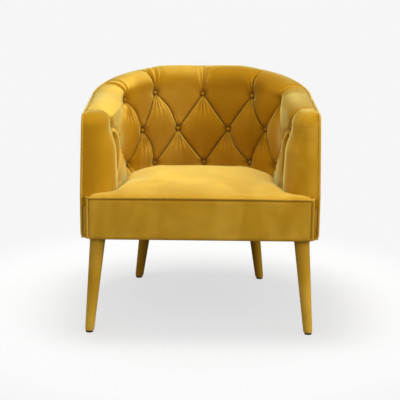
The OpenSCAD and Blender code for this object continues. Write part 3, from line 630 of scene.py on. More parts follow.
class Buttoning:
    """Depth of the buttoned surface below the smooth face, at columns u and rows v."""

    # radius of a button's dimple, edge of the button, and distance past which it has no effect
    PULL_REACH, BUTTON_EDGE, FAR = 0.014, 0.004, 0.16
    # depth and half width of the groove along a crease
    GROOVE, GROOVE_REACH = 0.0046, 0.0024
    # side of the button (-1 below), reach, height, spread in degrees and number of folds a radian
    GATHERS = ((-1.0, 0.056, 1.5, 25.0, 12.0), (1.0, 0.030, 0.9, 34.0, 13.0))
    PLEATS = (1.0, 0.066, 1.0, 17.0, 11.0)
    # how a gather's height grows with the distance from its button
    GATHER_FROM, GATHER_FULL = 0.008, 0.045
    # level of the gathers' waves, and their painted shading: painted highlight on the crests and
    # painted shade in the valleys
    WAVE_LEVEL, WAVE_SHADE = 0.35, (-1.9, 0.3)
    # depth and reach of the seam between an arm's pad and its front
    SEAM, SEAM_REACH = 0.016, 0.012
    # columns over which an arm's pad turns into its front, the share of the folds' depth that is
    # left at the outer edge of the rim, and how late it goes, at the back and at the front
    FRONT_FROM, FRONT_WIDTH = 2.3, 0.7
    RIM_LEFT, RIM_LATE = (0.26, 0.5), (1.0, 2.2)
    # how quickly the folds end below the bottom row, and the painted shade near a crease and in a
    # groove and the painted highlight on a lip
    FOOT, DARK = 4.0, (0.4, 0.55, -0.8)
    # painted light and shade on the rim, lighter to the left and darker to the right: columns, and
    # the painted shading at each
    NAP_ROUND_RIM = ((-2.3, -2.0, -1.0, 0.0, 1.0, 2.0, 2.3),
                     (-0.34, -0.22, -0.12, 0.0, 0.22, 0.32, 0.36))
    # and painted light and shade on the panels: from left to right of each, from the face to the
    # rim, and in the right arm
    NAP_ACROSS, NAP_UP, NAP_RIGHT = (-0.10, 0.12), (0.36, 0.48), (-0.30, 0.25)
    LIP, LIP_PLACE, LIP_WIDTH = 0.0026, 0.0050, 0.0026
    # how full the panels are on the face and on the rim, and how the left and right ones lap over
    FULL, LAP = (0.52, 0.22), (1.22, 0.84)

    def __init__(self, tub):
        self.tub = tub
        random = np.random.default_rng(SEED)
        self.buttons = []
        for row in (0, -1, -2):
            for column in (np.arange(-3, 4) if row != -1 else np.arange(-2.5, 3)):
                s, z = tub.lattice(float(column), float(row))
                phase, size = random.uniform(0, 2 * math.pi, 3), random.uniform(0.75, 1.2, 2)
                self.buttons.append((float(s), float(z), row, phase, size))

    def depth(self, u, v, s, z, knee_v):
        """Depth in metres, and the painted shading of each point: painted shade up to 1, most of
        all in folds, and painted highlight down to -1, most of all on ridges.
        """
        tub, b = self.tub, self.tub.b
        w = np.clip(v, -2.0, 0.0)
        p, q = u - w / 2, u + w / 2
        row_h = (b.top_row - b.bottom_row) / 2
        above = np.clip(v / (knee_v + 1.0), 0.0, 1.0)
        exponent = mix(*self.FULL, ease(np.clip(v, 0, None) / 0.5))
        # the panel on one side of a fold laps over it a little
        lap = mix(*self.LAP, ease((u + 0.6) / 1.2))
        turned = np.floor(q) + (q - np.floor(q)) ** lap
        pillow = 1.0 - (np.abs(np.sin(math.pi * p)) * np.abs(np.sin(math.pi * turned))) ** exponent
        front = ease((np.abs(u) - self.FRONT_FROM) / self.FRONT_WIDTH)
        fade_above = mix(1.0, mix(*self.RIM_LEFT, front), ease(above ** mix(*self.RIM_LATE, front)))
        fade = np.where(v > 0, fade_above, np.clip(1.0 + self.FOOT * (v + 2.0), 0.0, 1.0))
        pitch = tub.pitch(u)
        slope = np.where(v > 0, 1.0 / pitch, np.hypot(1.0 / pitch, 1.0 / (2 * row_h)))
        near_p, near_q = (np.abs(way - np.round(way)) / slope for way in (p, q))
        crease = np.exp(-np.minimum(near_p, near_q) / self.GROOVE_REACH)
        # the lower panel of each fold ends in a rounded lip that stands over the other
        lip = fade * (v <= 0) * sum(
            np.exp(-((near - self.LIP_PLACE) / self.LIP_WIDTH) ** 2) * lower
            for near, lower in ((near_q, q < np.round(q)), (near_p, p > np.round(p))))
        total = fade * b.fold_depth * pillow + np.sqrt(fade) * self.GROOVE * crease - self.LIP * lip
        # the seam between the arm's pad and its front runs straight down to the seat
        seam = np.exp(-(3.0 - np.abs(u)) * tub.arm_pitch / self.SEAM_REACH)
        seam = fade * (v < 0) * ease(-v / 0.4) * seam
        total = np.maximum(total, self.SEAM * seam)
        # painted shade near the creases and in their grooves, and painted highlight on each lip
        fold = (self.DARK[0] * fade * pillow ** 3 + self.DARK[1] * crease ** 1.4 * np.sqrt(fade)
                + self.DARK[2] * lip)
        # each panel is painted lighter on its left and darker on its right, and lighter inside the
        # right arm: brushed holds this painted light and shade
        across = (p - np.floor(p)) + (q - np.floor(q)) - 1.0
        back = ease((np.where(u > 0, 1.6, 2.1) - np.abs(u)) / 0.4)
        brushed = back * (mix(*self.NAP_ACROSS, ease((across + 0.8) / 1.6))
                          + mix(*self.NAP_UP, ease(v / 0.6)))
        brushed = brushed + mix(*self.NAP_RIGHT, ease((u - 2.2) / 0.3)) * (1 - back) * (u > 0)
        fold += brushed * (1 - pillow) * fade * (1 - ease((above - 0.3) / 0.4))
        # painted light and shade along the rim
        fold += np.interp(u, *self.NAP_ROUND_RIM) * ease(v / 0.3)
        for button in self.buttons:
            near = np.hypot(s - button[0], z - button[1]) < self.FAR
            if near.any():
                self.pull(total, fold, near, s, z, button)
        # painted shade along the seam between each arm's pad and its front
        return total, np.clip(np.maximum(fold, 0.8 * seam), -1, 1)

    def pull(self, total, fold, near, s, z, button):
        """The dimple of one button and the gathers that fan out below and above it."""
        b = self.tub.b
        at_s, at_z, row, phase, size = button
        x, y = s[near] - at_s, z[near] - at_z
        r = np.hypot(x, y)
        dimple = np.exp(-(r / self.PULL_REACH) ** 2)
        total[near] += b.button_pull * dimple
        # painted shade in the button's dimple
        fold[near] = np.maximum(fold[near], dimple)
        rise = (ease((r - self.BUTTON_EDGE) / self.GATHER_FROM)
                * np.clip(r / self.GATHER_FULL, 0, 1) ** 0.6)
        for k, gathers in enumerate(self.GATHERS):
            side, reach, height, spread, turns = self.PLEATS if row == 0 and k else gathers
            if row == -2 and side < 0:
                continue
            angle = np.arctan2(x, side * y)
            fan = np.exp(-(angle / math.radians(spread)) ** 4)
            fall = np.exp(-(r / (reach * size[k])) ** 3)
            # rounded gathers with valleys between them
            wave = 0.5 - 0.5 * np.cos(2 * turns * angle + phase[k])
            ripple = fan * fall * rise
            total[near] += b.gather * height * ripple * (wave - self.WAVE_LEVEL)
            # painted highlight on each gather's crest and painted shade in its valleys
            fold[near] += ripple * mix(*self.WAVE_SHADE, wave)


# points of a section: outside the crown, over the roll, down to the top row, below the bottom row
OUTER, ROLL, UPPER, TAIL = 8, 40, 17, 8
# reach of the flat edge beside the rim's piping and of its painted shade, and how dark the back's
# face is painted
RIM_EDGE, AWAY = 0.006, 0.34


def pad_section(tub, buttoning, u, fade=1.0, nominal=None):
    """Sections of the pad at columns u: stations, distances inside the outline, heights, painted
    shading.

    A nominal station keeps a section in one plane, and a fade of 0 leaves it unbuttoned.
    """
    g, b = tub.g, tub.b
    u = np.asarray(u, float)[:, None]
    base = tub.column_s(u) if nominal is None else np.full_like(u, nominal)
    knee = (1 - tub.ROLL_SHARE) * (tub.rim_at(base) - tub.top_z(base)) / (b.top_row - b.middle_row)
    half, quarter = b.columns // 2, math.pi / 2
    outer = np.linspace(1.0, 0.0, OUTER + 1)[None, :-1]
    inner = np.linspace(0.0, 1.0, ROLL + 1)[None, :]
    upper = np.linspace(1.0, 0.0, UPPER + 1)[None, 1:]
    rows = -np.arange(1, 2 * half + 1)[None, :] / half
    tail = np.linspace(0.0, 1.0, TAIL + 1)[None, 1:]
    v = np.concatenate([knee + 1.0 + outer * 0.5, knee + 1.0 - inner, knee * upper, rows + 0 * u,
                        -2.0 - 0.25 * tail + 0 * u], axis=1)
    along, up = tub.hand(u, v) if nominal is None else (0 * v, 0 * v)
    s = base + along
    cuts = np.cumsum([outer.size, inner.size, upper.size, rows.size])
    s_outer, s_inner, s_upper, s_rows, s_tail = np.split(s, cuts, axis=1)
    _, _, up_upper, up_rows, _ = np.split(up, cuts, axis=1)

    rim_o, rim_i, roll = tub.rim_at(s_outer), tub.rim_at(s_inner), tub.roll_h(s_inner)
    # the roll turns until it meets the slope of the leaning face
    width = tub.face_d(s_inner, rim_i - roll) - g.crown_distance
    slope = tub.lean(s_inner) * roll / width
    last = np.arccos(slope / (1 - slope))
    turn = inner * last
    d = [mix(g.crown_distance, g.pad_outer, np.sin(outer * quarter)) + 0 * s_outer,
         g.crown_distance + width * np.sin(turn) / np.sin(last)]
    z = [rim_o - g.edge_drop * (1 - np.cos(outer * quarter)),
         rim_i - roll * (1 - np.cos(turn)) / (1 - np.cos(last))]
    nd = [-np.sin(outer * quarter) * 0.5 + 0 * s_outer, np.sin(turn)]
    nz = [np.cos(outer * quarter) * 0.8 + 0.2 + 0 * s_outer, np.cos(turn)]
    top = tub.top_z(s_upper)
    plain = (mix(top, tub.rim_at(s_upper) - tub.roll_h(s_upper), upper) + up_upper * (1 - upper),
             tub.row_z(s_rows, rows + 0 * s_rows) + up_rows,
             mix(b.bottom_row + up_rows[:, -1:], tub.bottom_z, tail) + 0 * s_tail)
    for stations, heights in zip((s_upper, s_rows, s_tail), plain):
        d.append(tub.face_d(stations, heights))
        z.append(heights)
        nd.append(np.ones_like(heights))
        nz.append(np.full_like(heights, 0.05))
    nz[2] = mix(0.05, np.cos(last[:, -1:]), upper)
    d, z, nd, nz = (np.concatenate(part, axis=1) for part in (d, z, nd, nz))
    size = np.hypot(nd, nz)
    depth, fold = buttoning.depth(u + 0 * v, v, s, z, knee)
    # the back's face is turned from the light, so it is painted darker than its rim, as painted
    # shade
    away = AWAY * ease((2.1 - np.abs(u)) / 0.8) * nd.clip(0) / size
    near = np.exp(-(d - g.pad_outer) / RIM_EDGE)
    # painted shade on the flat edge beside the rim's piping
    depth, fold = depth * fade * (1 - 0.85 * near), (fold + away) * fade + 0.55 * near ** 1.7
    d, z = d - depth * nd / size, z - depth * nz / size
    rim = tub.rim_at(base)
    # three points close the section behind: the foot of the back, its head, and the rim's outside
    hidden_d = np.array([[g.pad_back, g.pad_back, g.pad_outer]]) + 0 * base
    hidden_z = np.concatenate([tub.bottom_z + 0 * base, rim - g.rim_pad, rim - g.rim_pad], axis=1)
    hidden_s = np.repeat(base, 3, axis=1)
    return (np.concatenate([s, hidden_s], axis=1), np.concatenate([d, hidden_d], axis=1),
            np.concatenate([z, hidden_z], axis=1), np.concatenate([fold, 0 * hidden_d], axis=1))


# ---------------------------------------------------------------- mesh helpers


def linked(name, data):
    piece = bpy.data.objects.new(name, data)
    bpy.context.scene.collection.objects.link(piece)
    return piece


def discard(thing):
    mesh = thing.data
    bpy.data.objects.remove(thing)
    bpy.data.meshes.remove(mesh)


def new_piece(name, vertices, faces, smooth=True, edges=()):
    mesh = bpy.data.meshes.new(name)
    mesh.from_pydata([tuple(p) for p in vertices], edges, [tuple(f) for f in faces])
    mesh.validate()
    mesh.polygons.foreach_set("use_smooth", [smooth] * len(mesh.polygons))
    mesh.update()
    return linked(name, mesh)


def store(piece, name, values):
    """Keeps a number for each vertex, such as the painted shading and the painted light that the
    velvet reads.
    """
    layer = piece.data.attributes.new(name, "FLOAT", "POINT")
    layer.data.foreach_set("value", np.asarray(values, np.float32).reshape(-1))


@contextmanager
def reworked(mesh):
    """A mesh that is open for changes, and is written back after them."""
    work = bmesh.new()
    work.from_mesh(mesh)
    yield work
    work.to_mesh(mesh)
    work.free()


def ringed(name, rings, folds, capped=True):
    """A skin over rings of points, closed by a face on each end ring."""
    count, around = rings.shape[:2]
    index = np.arange(count * around).reshape(count, around)
    a, b = index[:-1], index[1:]
    a_next, b_next = np.roll(a, -1, axis=1), np.roll(b, -1, axis=1)
    faces = np.stack([a, a_next, b_next, b], axis=-1).reshape(-1, 4).tolist()
    if capped:
        faces += [index[0, ::-1].tolist(), index[-1].tolist()]
    piece = new_piece(name, rings.reshape(-1, 3), faces)
    # the folds are stored as painted shading: painted shade above zero, painted highlight below
    store(piece, "fold", np.clip(folds, -1, 1))
    return piece


def right_way(piece, sharp=65):
    """Flips a closed piece whose volume is negative, and sharpens its edges past an angle."""
    with reworked(piece.data) as work:
        if work.calc_volume(signed=True) < 0:
            bmesh.ops.reverse_faces(work, faces=work.faces)
    piece.data.set_sharp_from_angle(angle=math.radians(sharp))
    return piece


def fresh(grown):
    """The new vertices of an extrusion."""
    return [one for one in grown["geom"] if isinstance(one, bmesh.types.BMVert)]


def padded_panel(name, front, shade, back_y):
    """A panel with a grid of points as its face, and straight sides that run to a flat back."""
    columns, rows = front.shape[:2]
    at = np.arange(columns * rows).reshape(columns, rows)
    faces = np.stack([at[:-1, :-1], at[1:, :-1], at[1:, 1:], at[:-1, 1:]], axis=-1)
    piece = new_piece(name, front.reshape(-1, 3), faces.reshape(-1, 4).tolist())
    store(piece, "fold", shade)
    with reworked(piece.data) as work:
        grown = bmesh.ops.extrude_edge_only(work, edges=[e for e in work.edges if e.is_boundary])
        for vert in fresh(grown):
            vert.co.y = back_y
        bmesh.ops.holes_fill(work, edges=[e for e in work.edges if e.is_boundary])
        bmesh.ops.recalc_face_normals(work, faces=work.faces)
    return right_way(piece, 40)


def points_of(*axes):
    """Points from their places on each axis, which may be one number for all of them."""
    return np.stack(np.broadcast_arrays(*axes), axis=-1)


def waves(x, y, count, bend, turns):
    """Waves of slack cloth across x, from -1 to 1, which wander from side to side along y."""
    return np.sin(x * count + bend * np.sin(y * turns))


def mirrored(half, first=0):
    """A line of points and its mirror image to -X, from the far end back to the first point."""
    other = half[first:-1][::-1].copy()
    other[:, 0] *= -1.0
    return np.concatenate([half, other])


# the way from which the painted light comes, how far a face has to turn to it before it is painted
# lighter and until it is at its palest, and how pale that is
NAP_WAY, NAP_FROM, NAP_REACH, NAP_LIFT = (0.55, -0.2, 0.81), 0.62, 0.30, 0.33


def brushed_up(piece, more):
    """Stores painted light: lighter on faces turned to the light, most of all on the left, with the
    painted light given in more added to it.
    """
    normals = np.empty(len(piece.data.vertices) * 3, np.float32)
    piece.data.vertex_normals.foreach_get("vector", normals)
    across = np.array([vert.co.x for vert in piece.data.vertices])
    leaning = ease((normals.reshape(-1, 3) @ np.array(NAP_WAY) - NAP_FROM) / NAP_REACH)
    nap = leaning * NAP_LIFT * np.clip(1 - across / 0.25, -0.6, 2)
    nap[:more.size] += more.reshape(-1)
    store(piece, "nap", nap)


def finished(piece, finish, slot, *nodes, fill=None):
    """Gives a piece its finish and body, and hides the nodes it stands for. Its slot is not used.
    """
    piece.data.materials.clear()
    piece.data.materials.append(finish_of(finish))
    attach(piece, BODY)
    if nodes:
        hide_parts(*nodes)
    return piece


# how much lighter than the tub's own tint each copy of the one velvet is painted, and below zero
# how much darker: painted light and shade for its part
VELVETS = {"tub velvet": -0.12, "seat velvet": 0.15, "outer velvet": 0.08, "piping velvet": 0.10,
           "button velvet": -0.3, "leg velvet": 0.06}
# two colours of yarn and their pitch, then roughness and how far the weave itself shows
WEAVES = {"grey lining": ((0.09, 0.085, 0.08), (0.20, 0.19, 0.18), 0.0022),
          "black webbing": ((0.008, 0.008, 0.008), (0.05, 0.045, 0.04), 0.0034),
          "black cambric": ((0.006, 0.006, 0.007), (0.03, 0.03, 0.032), 0.0012),
          "fibreboard": ((0.36, 0.22, 0.11), (0.25, 0.15, 0.07), 0.004, 0.8, 0.15)}
OTHERS = {"beech frame": timber_finish, "cream foam": foam_finish, "zinc steel": steel_finish,
          "dark glide": plastic_finish}


def finish_of(name):
    """A finish by its name, made the first time it is asked for."""
    if name in bpy.data.materials:
        return bpy.data.materials[name]
    if name in VELVETS:
        return velvet(name, VELVETS[name])
    return woven_finish(name, *WEAVES[name]) if name in WEAVES else OTHERS[name](name)


# ---------------------------------------------------------------- the pieces


class CHAIR_OT_back_pad(bpy.types.Operator):
    """Buttoned inner back, from one side pleat to the other"""
    bl_idname = "chair.back_pad"
    bl_label = "Buttoned back"

    def execute(self, context):
        buttoned_pad("buttoned_back", -2.0, 2.0, "back_pad")
        return {"FINISHED"}


class CHAIR_OT_arm_pads(bpy.types.Operator):
    """Buttoned inner covers of both arms"""
    bl_idname = "chair.arm_pads"
    bl_label = "Buttoned arms"

    def execute(self, context):
        buttoned_pad("buttoned_left_arm", -3.0, -2.0, "left_arm_pad")
        buttoned_pad("buttoned_right_arm", 2.0, 3.0, "right_arm_pad")
        return {"FINISHED"}


# how much lighter the left part of the back is painted, as painted light
DUSTY = 0.32


def buttoned_pad(name, u_from, u_to, node):
    tub = Tub()
    u = np.linspace(u_from, u_to, int(round((u_to - u_from) * tub.b.columns)) + 1)
    s, d, z, fold = pad_section(tub, Buttoning(tub), u)
    piece = right_way(ringed(name, points_of(*tub.plan(s, d), z), fold))
    column = u[:, None]
    dusty = (DUSTY * ease((0.6 - column) / 1.8) * ease((1.9 - np.abs(column)) / 0.4)
             * ease((tub.rim_at(s) - z - 0.03) / 0.05)
             * (1 - 0.5 * ease((z - tub.b.top_row) / 0.04)))
    brushed_up(piece, dusty)
    return finished(piece, "tub velvet", "inner_velvet", node, fill=0.8)


class CHAIR_OT_arm_fronts(bpy.types.Operator):
    """Smooth rounded fronts of both arms"""
    bl_idname = "chair.arm_fronts"
    bl_label = "Arm fronts"

    RUN_STEPS, TURN_STEPS = 40, 44
    # painted shading at the inner and the outer edge of the left and the right front: painted shade
    # above zero, painted highlight below
    SHADES = {-1: (-0.06, 0.45), 1: (0.02, -0.20)}
    SHADE_FROM, SHADE_WIDTH = 0.262, 0.06

    def execute(self, context):
        tub = Tub()
        buttoning = Buttoning(tub)
        for side, word in SIDES:
            rings, fold = self.rings(tub, buttoning, side)
            piece = right_way(ringed(f"{word}_arm_nose", rings, fold))
            finished(piece, "tub velvet", "inner_velvet", f"{word}_arm_front", fill=0.85)
        return {"FINISHED"}

    def rings(self, tub, buttoning, side):
        g, pleat = tub.g, side * tub.pleat_s
        run = np.linspace(0.0, 1.0, self.RUN_STEPS + 1)
        t = np.linspace(0.0, math.pi / 2, self.TURN_STEPS + 1)[1:, None]
        # the folds at the pleat die out soon after it
        fade = ((1 - run) ** 5)[:, None]
        u = np.full(run.size, side * 3.0)
        _, sewn_d, sewn_z, fold = pad_section(tub, buttoning, u, nominal=pleat)
        _, flat_d, flat_z, seam = pad_section(tub, buttoning, u[:1], 0.0, nominal=pleat)
        drawn_d = tub.waist(flat_d, flat_z)
        rim, roll = float(tub.rim_at(pleat)), float(tub.roll_h(pleat))
        inward = (flat_d - g.pad_outer) / (g.crown_distance - g.pad_outer)
        flat_z = flat_z - g.front_step * (ease((flat_z - rim + roll) / roll) * ease(inward))
        d, z = mix(drawn_d, sewn_d, fade), mix(flat_z, sewn_z, fade)
        x, y = g.half_width - d, mix(g.pleat_y, tub.pivot_y(z), run[:, None])
        nose_z = np.minimum(flat_z + 0 * t, rim - g.edge_drop * (1 - np.cos(t)))
        nose_x = g.half_width - g.pivot_distance - np.cos(t) * (drawn_d - g.pivot_distance)
        nose_y = tub.pivot_y(flat_z) - g.nose_ratio * np.sin(t) * (flat_d - g.pivot_distance)
        rings = np.concatenate([points_of(x, y, z), points_of(nose_x, nose_y, nose_z)])
        # painted shading across each front, faded out at the rim, at the foot and at the pleat
        shade = mix(*self.SHADES[side], ease((rings[..., 0] - self.SHADE_FROM) / self.SHADE_WIDTH))
        shade = (shade * ease((rim - rings[..., 2]) / self.SHADE_WIDTH)
                 * ease((rings[..., 2] - tub.bottom_z) / self.SHADE_WIDTH))
        shade[:run.size] *= 1 - fade
        # the flat section brings only the painted shade beside the rim's piping
        fold = np.concatenate([mix(seam, fold, fade), seam + 0 * nose_x])
        return rings * np.array([side, 1.0, 1.0]), fold + shade


def button_mesh(radius):
    """A covered button: a domed cap with a soft gathered edge, its back at the origin."""
    around, puckers, pucker = 20, 5, 0.025
    profile = [(0.0, 0.0), (0.80, 0.0), (0.97, 0.10), (1.0, 0.24), (0.94, 0.38), (0.76, 0.52),
               (0.46, 0.61), (0.16, 0.65), (0.0, 0.65)]
    mesh = bpy.data.meshes.new("covered button")
    with reworked(mesh) as work:
        shade = work.verts.layers.float.new("fold")
        rings = []
        for share_r, share_z in profile:
            ring = []
            for k in range(1 if share_r == 0.0 else around):
                a = 2 * math.pi * k / around
                out = 1.0 + pucker * math.cos(puckers * a) * (0.15 < share_z < 0.7)
                x, y = (share_r * radius * turn * out for turn in (math.cos(a), math.sin(a)))
                ring.append(work.verts.new((x, y, share_z * radius)))
                # painted shade, deepest at the button's gathered edge, where it sinks into its
                # dimple
                ring[-1][shade] = 0.35 + 0.65 * share_r ** 2
            rings.append(ring)
        for low, high in zip(rings, rings[1:]):
            for k in range(around):
                corners = (low[k % len(low)], low[(k + 1) % len(low)], high[(k + 1) % len(high)],
                           high[k % len(high)])
                corners = list(dict.fromkeys(corners))
                if len(corners) > 2:
                    work.faces.new(corners)
        bmesh.ops.recalc_face_normals(work, faces=work.faces)
    mesh.polygons.foreach_set("use_smooth", [True] * len(mesh.polygons))
    return mesh


def place_shapes(name, mesh, points, turns, finish):
    """Copies of a mesh on points, each turned in its own way, as one plain mesh."""
    tree = Shapes("placed shapes", Shape=("Object", None), Size=("Float", 1.0),
                  Material=("Material", None))
    entry = tree.entry
    shape = tree.node("GeometryNodeObjectInfo", {}, {"Object": entry["Shape"]}, out="Geometry")
    turn = tree.node("GeometryNodeInputNamedAttribute", {"data_type": "FLOAT_VECTOR"},
                     {"Name": "turn"}, out="Attribute")
    tree.end(tree.node("GeometryNodeInstanceOnPoints", {}, {
        "Points": entry["Geometry"], "Instance": shape, "Rotation": turn, "Scale": entry["Size"]}))
    source = linked("source shape", mesh)
    piece = tree.run(name, points, turns=turns, Shape=source, Material=finish_of(finish))
    discard(source)
    return piece


class CHAIR_OT_buttons(bpy.types.Operator):
    """Covered buttons of the back and of both arms"""
    bl_idname = "chair.buttons"
    bl_label = "Covered buttons"

    # how far the backs stand over the bottoms of the dimples, and how far the faces look up
    FACE_DEPTH, LIFT = 0.0088, 0.15

    def execute(self, context):
        tub = Tub()
        mesh = button_mesh(tub.b.button_diameter / 2)
        back = [(u, v) for v in (0.0, -2.0) for u in (-1.0, 0.0, 1.0)]
        back += [(u, -1.0) for u in (-1.5, -0.5, 0.5, 1.5)]
        arm = [(2.0, 0.0), (2.0, -2.0), (2.5, -1.0), (3.0, 0.0)]
        groups = [("back_covered_buttons", back, "back_buttons")]
        for side, word in SIDES:
            groups.append((f"{word}_arm_covered_buttons", [(side * u, v) for u, v in arm],
                           f"{word}_arm_buttons"))
        for name, lattice, node in groups:
            points, turns = [], []
            for u, v in lattice:
                s, z = (float(part) for part in tub.lattice(u, v))
                d = float(tub.face_d(s, z)) - tub.b.fold_depth - tub.b.button_pull + self.FACE_DEPTH
                x, y = tub.plan(s, d)
                heading = float(tub.heading(s)) * (-1 if s < 0 else 1)
                normal = Vector((-math.sin(heading), -math.cos(heading), self.LIFT)).normalized()
                points.append((float(x), float(y), z))
                turns.append(tuple(normal.to_track_quat("Z", "Y").to_euler()))
            piece = place_shapes(name, mesh.copy(), points, turns, "button velvet")
            finished(piece, "button velvet", "button_velvet", node)
        bpy.data.meshes.remove(mesh)
        return {"FINISHED"}


# ---------------------------------------------------------------- seat, border and piping


def arm_foot(tub, clearance, turns):
    """Plan points round the right arm front at the bottom of the pads, for turns in radians."""
    g = tub.g
    z = tub.bottom_z
    d = float(tub.waist(tub.face_d(tub.pleat_s, z), z)) + clearance
    x = g.half_width - g.pivot_distance - np.cos(turns) * (d - g.pivot_distance)
    y = tub.pivot_y(z) - g.nose_ratio * np.sin(turns) * (d - g.pivot_distance) - clearance * 0.3
    return points_of(x, y)


def seat_outline(tub, clearance=0.0012, round_r=0.010, gap=0.002, behind=0.0003):
    """Plan outline of the seat: the front edge, the ears, then round inside the pads."""
    seat = tub.seat
    front = seat.front_y + seat.border_thickness + behind
    ear_x = seat.border_width / 2 + gap
    corner = np.linspace(-math.pi / 2, 0, 8)
    nose = arm_foot(tub, clearance, np.linspace(math.radians(78), 0, 26))
    stations = np.concatenate([np.linspace(tub.station_at(nose[-1, 1] + 0.012), tub.corner_s, 26),
                               np.linspace(tub.corner_s, 0, 40)[1:]])
    rear = tub.plan(stations, tub.face_d(stations, tub.bottom_z) + clearance)
    return mirrored(np.concatenate([
        points_of(np.linspace(0, ear_x - round_r, 60, endpoint=False), front),
        points_of(ear_x - round_r + round_r * np.cos(corner),
                  front + round_r + round_r * np.sin(corner)),
        [[ear_x, nose[0, 1] - gap]], nose, points_of(*rear)]), 1)


def seat_surface(tub, x, y):
    seat = tub.seat
    rear_y = float(tub.plan(0.0, tub.face_d(0.0, tub.bottom_z))[1])
    arm_x = tub.g.half_width - tub.g.face_distance
    climb = np.clip((y - seat.front_y) / (seat.crown_y - seat.front_y), 0, 1)
    front = seat.crown * np.sin(math.pi / 2 * climb)
    rear = seat.rear_drop * np.clip((y - seat.crown_y) / (rear_y - seat.crown_y), 0, 1) ** 2.2
    side = seat.side_drop * np.clip((np.abs(x) - 0.5 * arm_x) / (0.45 * arm_x), 0, 1) ** 1.5
    return seat.height + front - rear - side * ease((y - tub.g.nose_y) / 0.15)


class CHAIR_OT_seat(bpy.types.Operator):
    """Crowned tight seat with an ear in front of each arm"""
    bl_idname = "chair.seat"
    bl_label = "Seat"

    # place of the middle behind the front, depth of the cover, and reach and drop of its edge
    HUB, DEPTH, EDGE, EDGE_DROP = 0.125, 0.033, 0.030, 0.013
    # close rings over an outer share of the way in, and wider ones from there to the middle
    CLOSE_RINGS, CLOSE_SHARE, WIDE_RINGS, MIDDLE_SHARE = 16, 0.14, 30, 0.02
    # height of the slack cloth's waves, how they run, where they start, and reach of the edge shade
    SLACK, WAVES, CALM, SHADE_REACH = 0.0007, (31, 2.0, 17), 0.06, 0.004
    # painted highlight, lighter towards the back of the seat: distance from the front, lift
    NAP_AT, NAP = (0.0, 0.06, 0.16, 0.32, 0.50), (0.0, 0.05, 0.42, 0.78, 0.88)

    def execute(self, context):
        tub = Tub()
        outline = seat_outline(tub)
        hub = np.array([0.0, tub.seat.front_y + self.HUB])
        close = 1 - np.linspace(0, 1, self.CLOSE_RINGS) ** 2 * self.CLOSE_SHARE
        wide = np.linspace(1 - self.CLOSE_SHARE, self.MIDDLE_SHARE, self.WIDE_RINGS)[1:]
        low_z = tub.seat.height - self.DEPTH
        rings = [points_of(*outline.T, low_z)]
        folds = [np.ones(len(outline))]
        for portion in (*close, *wide):
            flat = hub + (outline - hub) * portion
            inside = np.linalg.norm(outline - flat, axis=1)
            t = np.clip(inside / self.EDGE, 0, 1)
            drop = self.EDGE_DROP * (1 - np.sqrt(1 - (1 - t) ** 2))
            slack = self.SLACK * waves(*flat.T, *self.WAVES) * ease(inside / self.CALM)
            z = seat_surface(tub, *flat.T) - drop + slack
            rings.append(points_of(*flat.T, np.maximum(low_z + 0.001, z)))
            # painted shade along the seat's edge
            folds.append(np.exp(-inside / self.SHADE_REACH))
        piece = ringed("crowned_seat", np.array(rings), np.array(folds), capped=False)
        around = len(outline)
        top_z = float(seat_surface(tub, *hub))
        with reworked(piece.data) as work:
            placed = list(work.verts)
            for start, z in ((0, low_z), (len(placed) - around, top_z)):
                ring = placed[start:start + around]
                middle = work.verts.new((*hub, z))
                for k in range(around):
                    work.faces.new((ring[k], ring[(k + 1) % around], middle)).smooth = True
            bmesh.ops.recalc_face_normals(work, faces=work.faces)
        right_way(piece)
        # painted highlight, growing towards the back of the seat
        places = np.array([vert.co.y for vert in piece.data.vertices])
        store(piece, "nap", np.interp(places, tub.seat.front_y + np.array(self.NAP_AT), self.NAP))
        finished(piece, "seat velvet", "seat_velvet", "seat_cover", fill=0.85)
        return {"FINISHED"}


class CHAIR_OT_border(bpy.types.Operator):
    """Padded border across the front of the seat"""
    bl_idname = "chair.border"
    bl_label = "Front border"

    COLUMNS, ROWS, CORNER = 150, 30, 0.0035
    # how far the face's edge lies behind the front, and how far, and over what width, the padding
    # swells from there and again towards its middle
    EDGE, SWELL, SWELL_WIDTH, MIDDLE, MIDDLE_WIDTH = 0.0046, 0.0036, 0.009, 0.0006, 0.05
    # height of the slack cloth's waves, how they run, and where they start
    SLACK, WAVES, CALM = 0.0005, (42, 3, 30), 0.02
    # how dark it is under the seat's cord and at the other edges, and how far that reaches
    TOP_DARK, TOP_REACH, EDGE_DARK, EDGE_REACH = 0.9, 0.0028, 0.35, 0.0018

    def execute(self, context):
        low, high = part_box("front_border")
        gx, gz = np.meshgrid(np.linspace(low.x, high.x, self.COLUMNS + 1),
                             np.linspace(low.z, high.z, self.ROWS + 1), indexing="ij")
        edge = np.minimum(np.minimum(gx - low.x, high.x - gx), np.minimum(gz - low.z, high.z - gz))
        pad = (self.SWELL * (1 - (1 - np.clip(edge / self.SWELL_WIDTH, 0, 1)) ** 2.4)
               + self.MIDDLE * ease(edge / self.MIDDLE_WIDTH))
        # the two lower corners are rounded off
        up = np.clip(1 - (gz - low.z) / self.CORNER, 0, 1)
        gx = gx * (1 - self.CORNER * (1 - np.sqrt(1 - up ** 2)) / high.x)
        slack = self.SLACK * waves(gx, gz, *self.WAVES) * ease(edge / self.CALM)
        shade = np.maximum(self.TOP_DARK * np.exp(-(high.z - gz) / self.TOP_REACH),
                           self.EDGE_DARK * np.exp(-edge / self.EDGE_REACH))
        front = points_of(gx, low.y + self.EDGE - pad - slack, gz)
        piece = padded_panel("front_border_panel", front, shade, high.y)
        finished(piece, "outer velvet", "outer_velvet", "front_border", fill=0.5)
        return {"FINISHED"}


# length of cord between two puckers of its seam
PUCKER_PITCH = 0.009


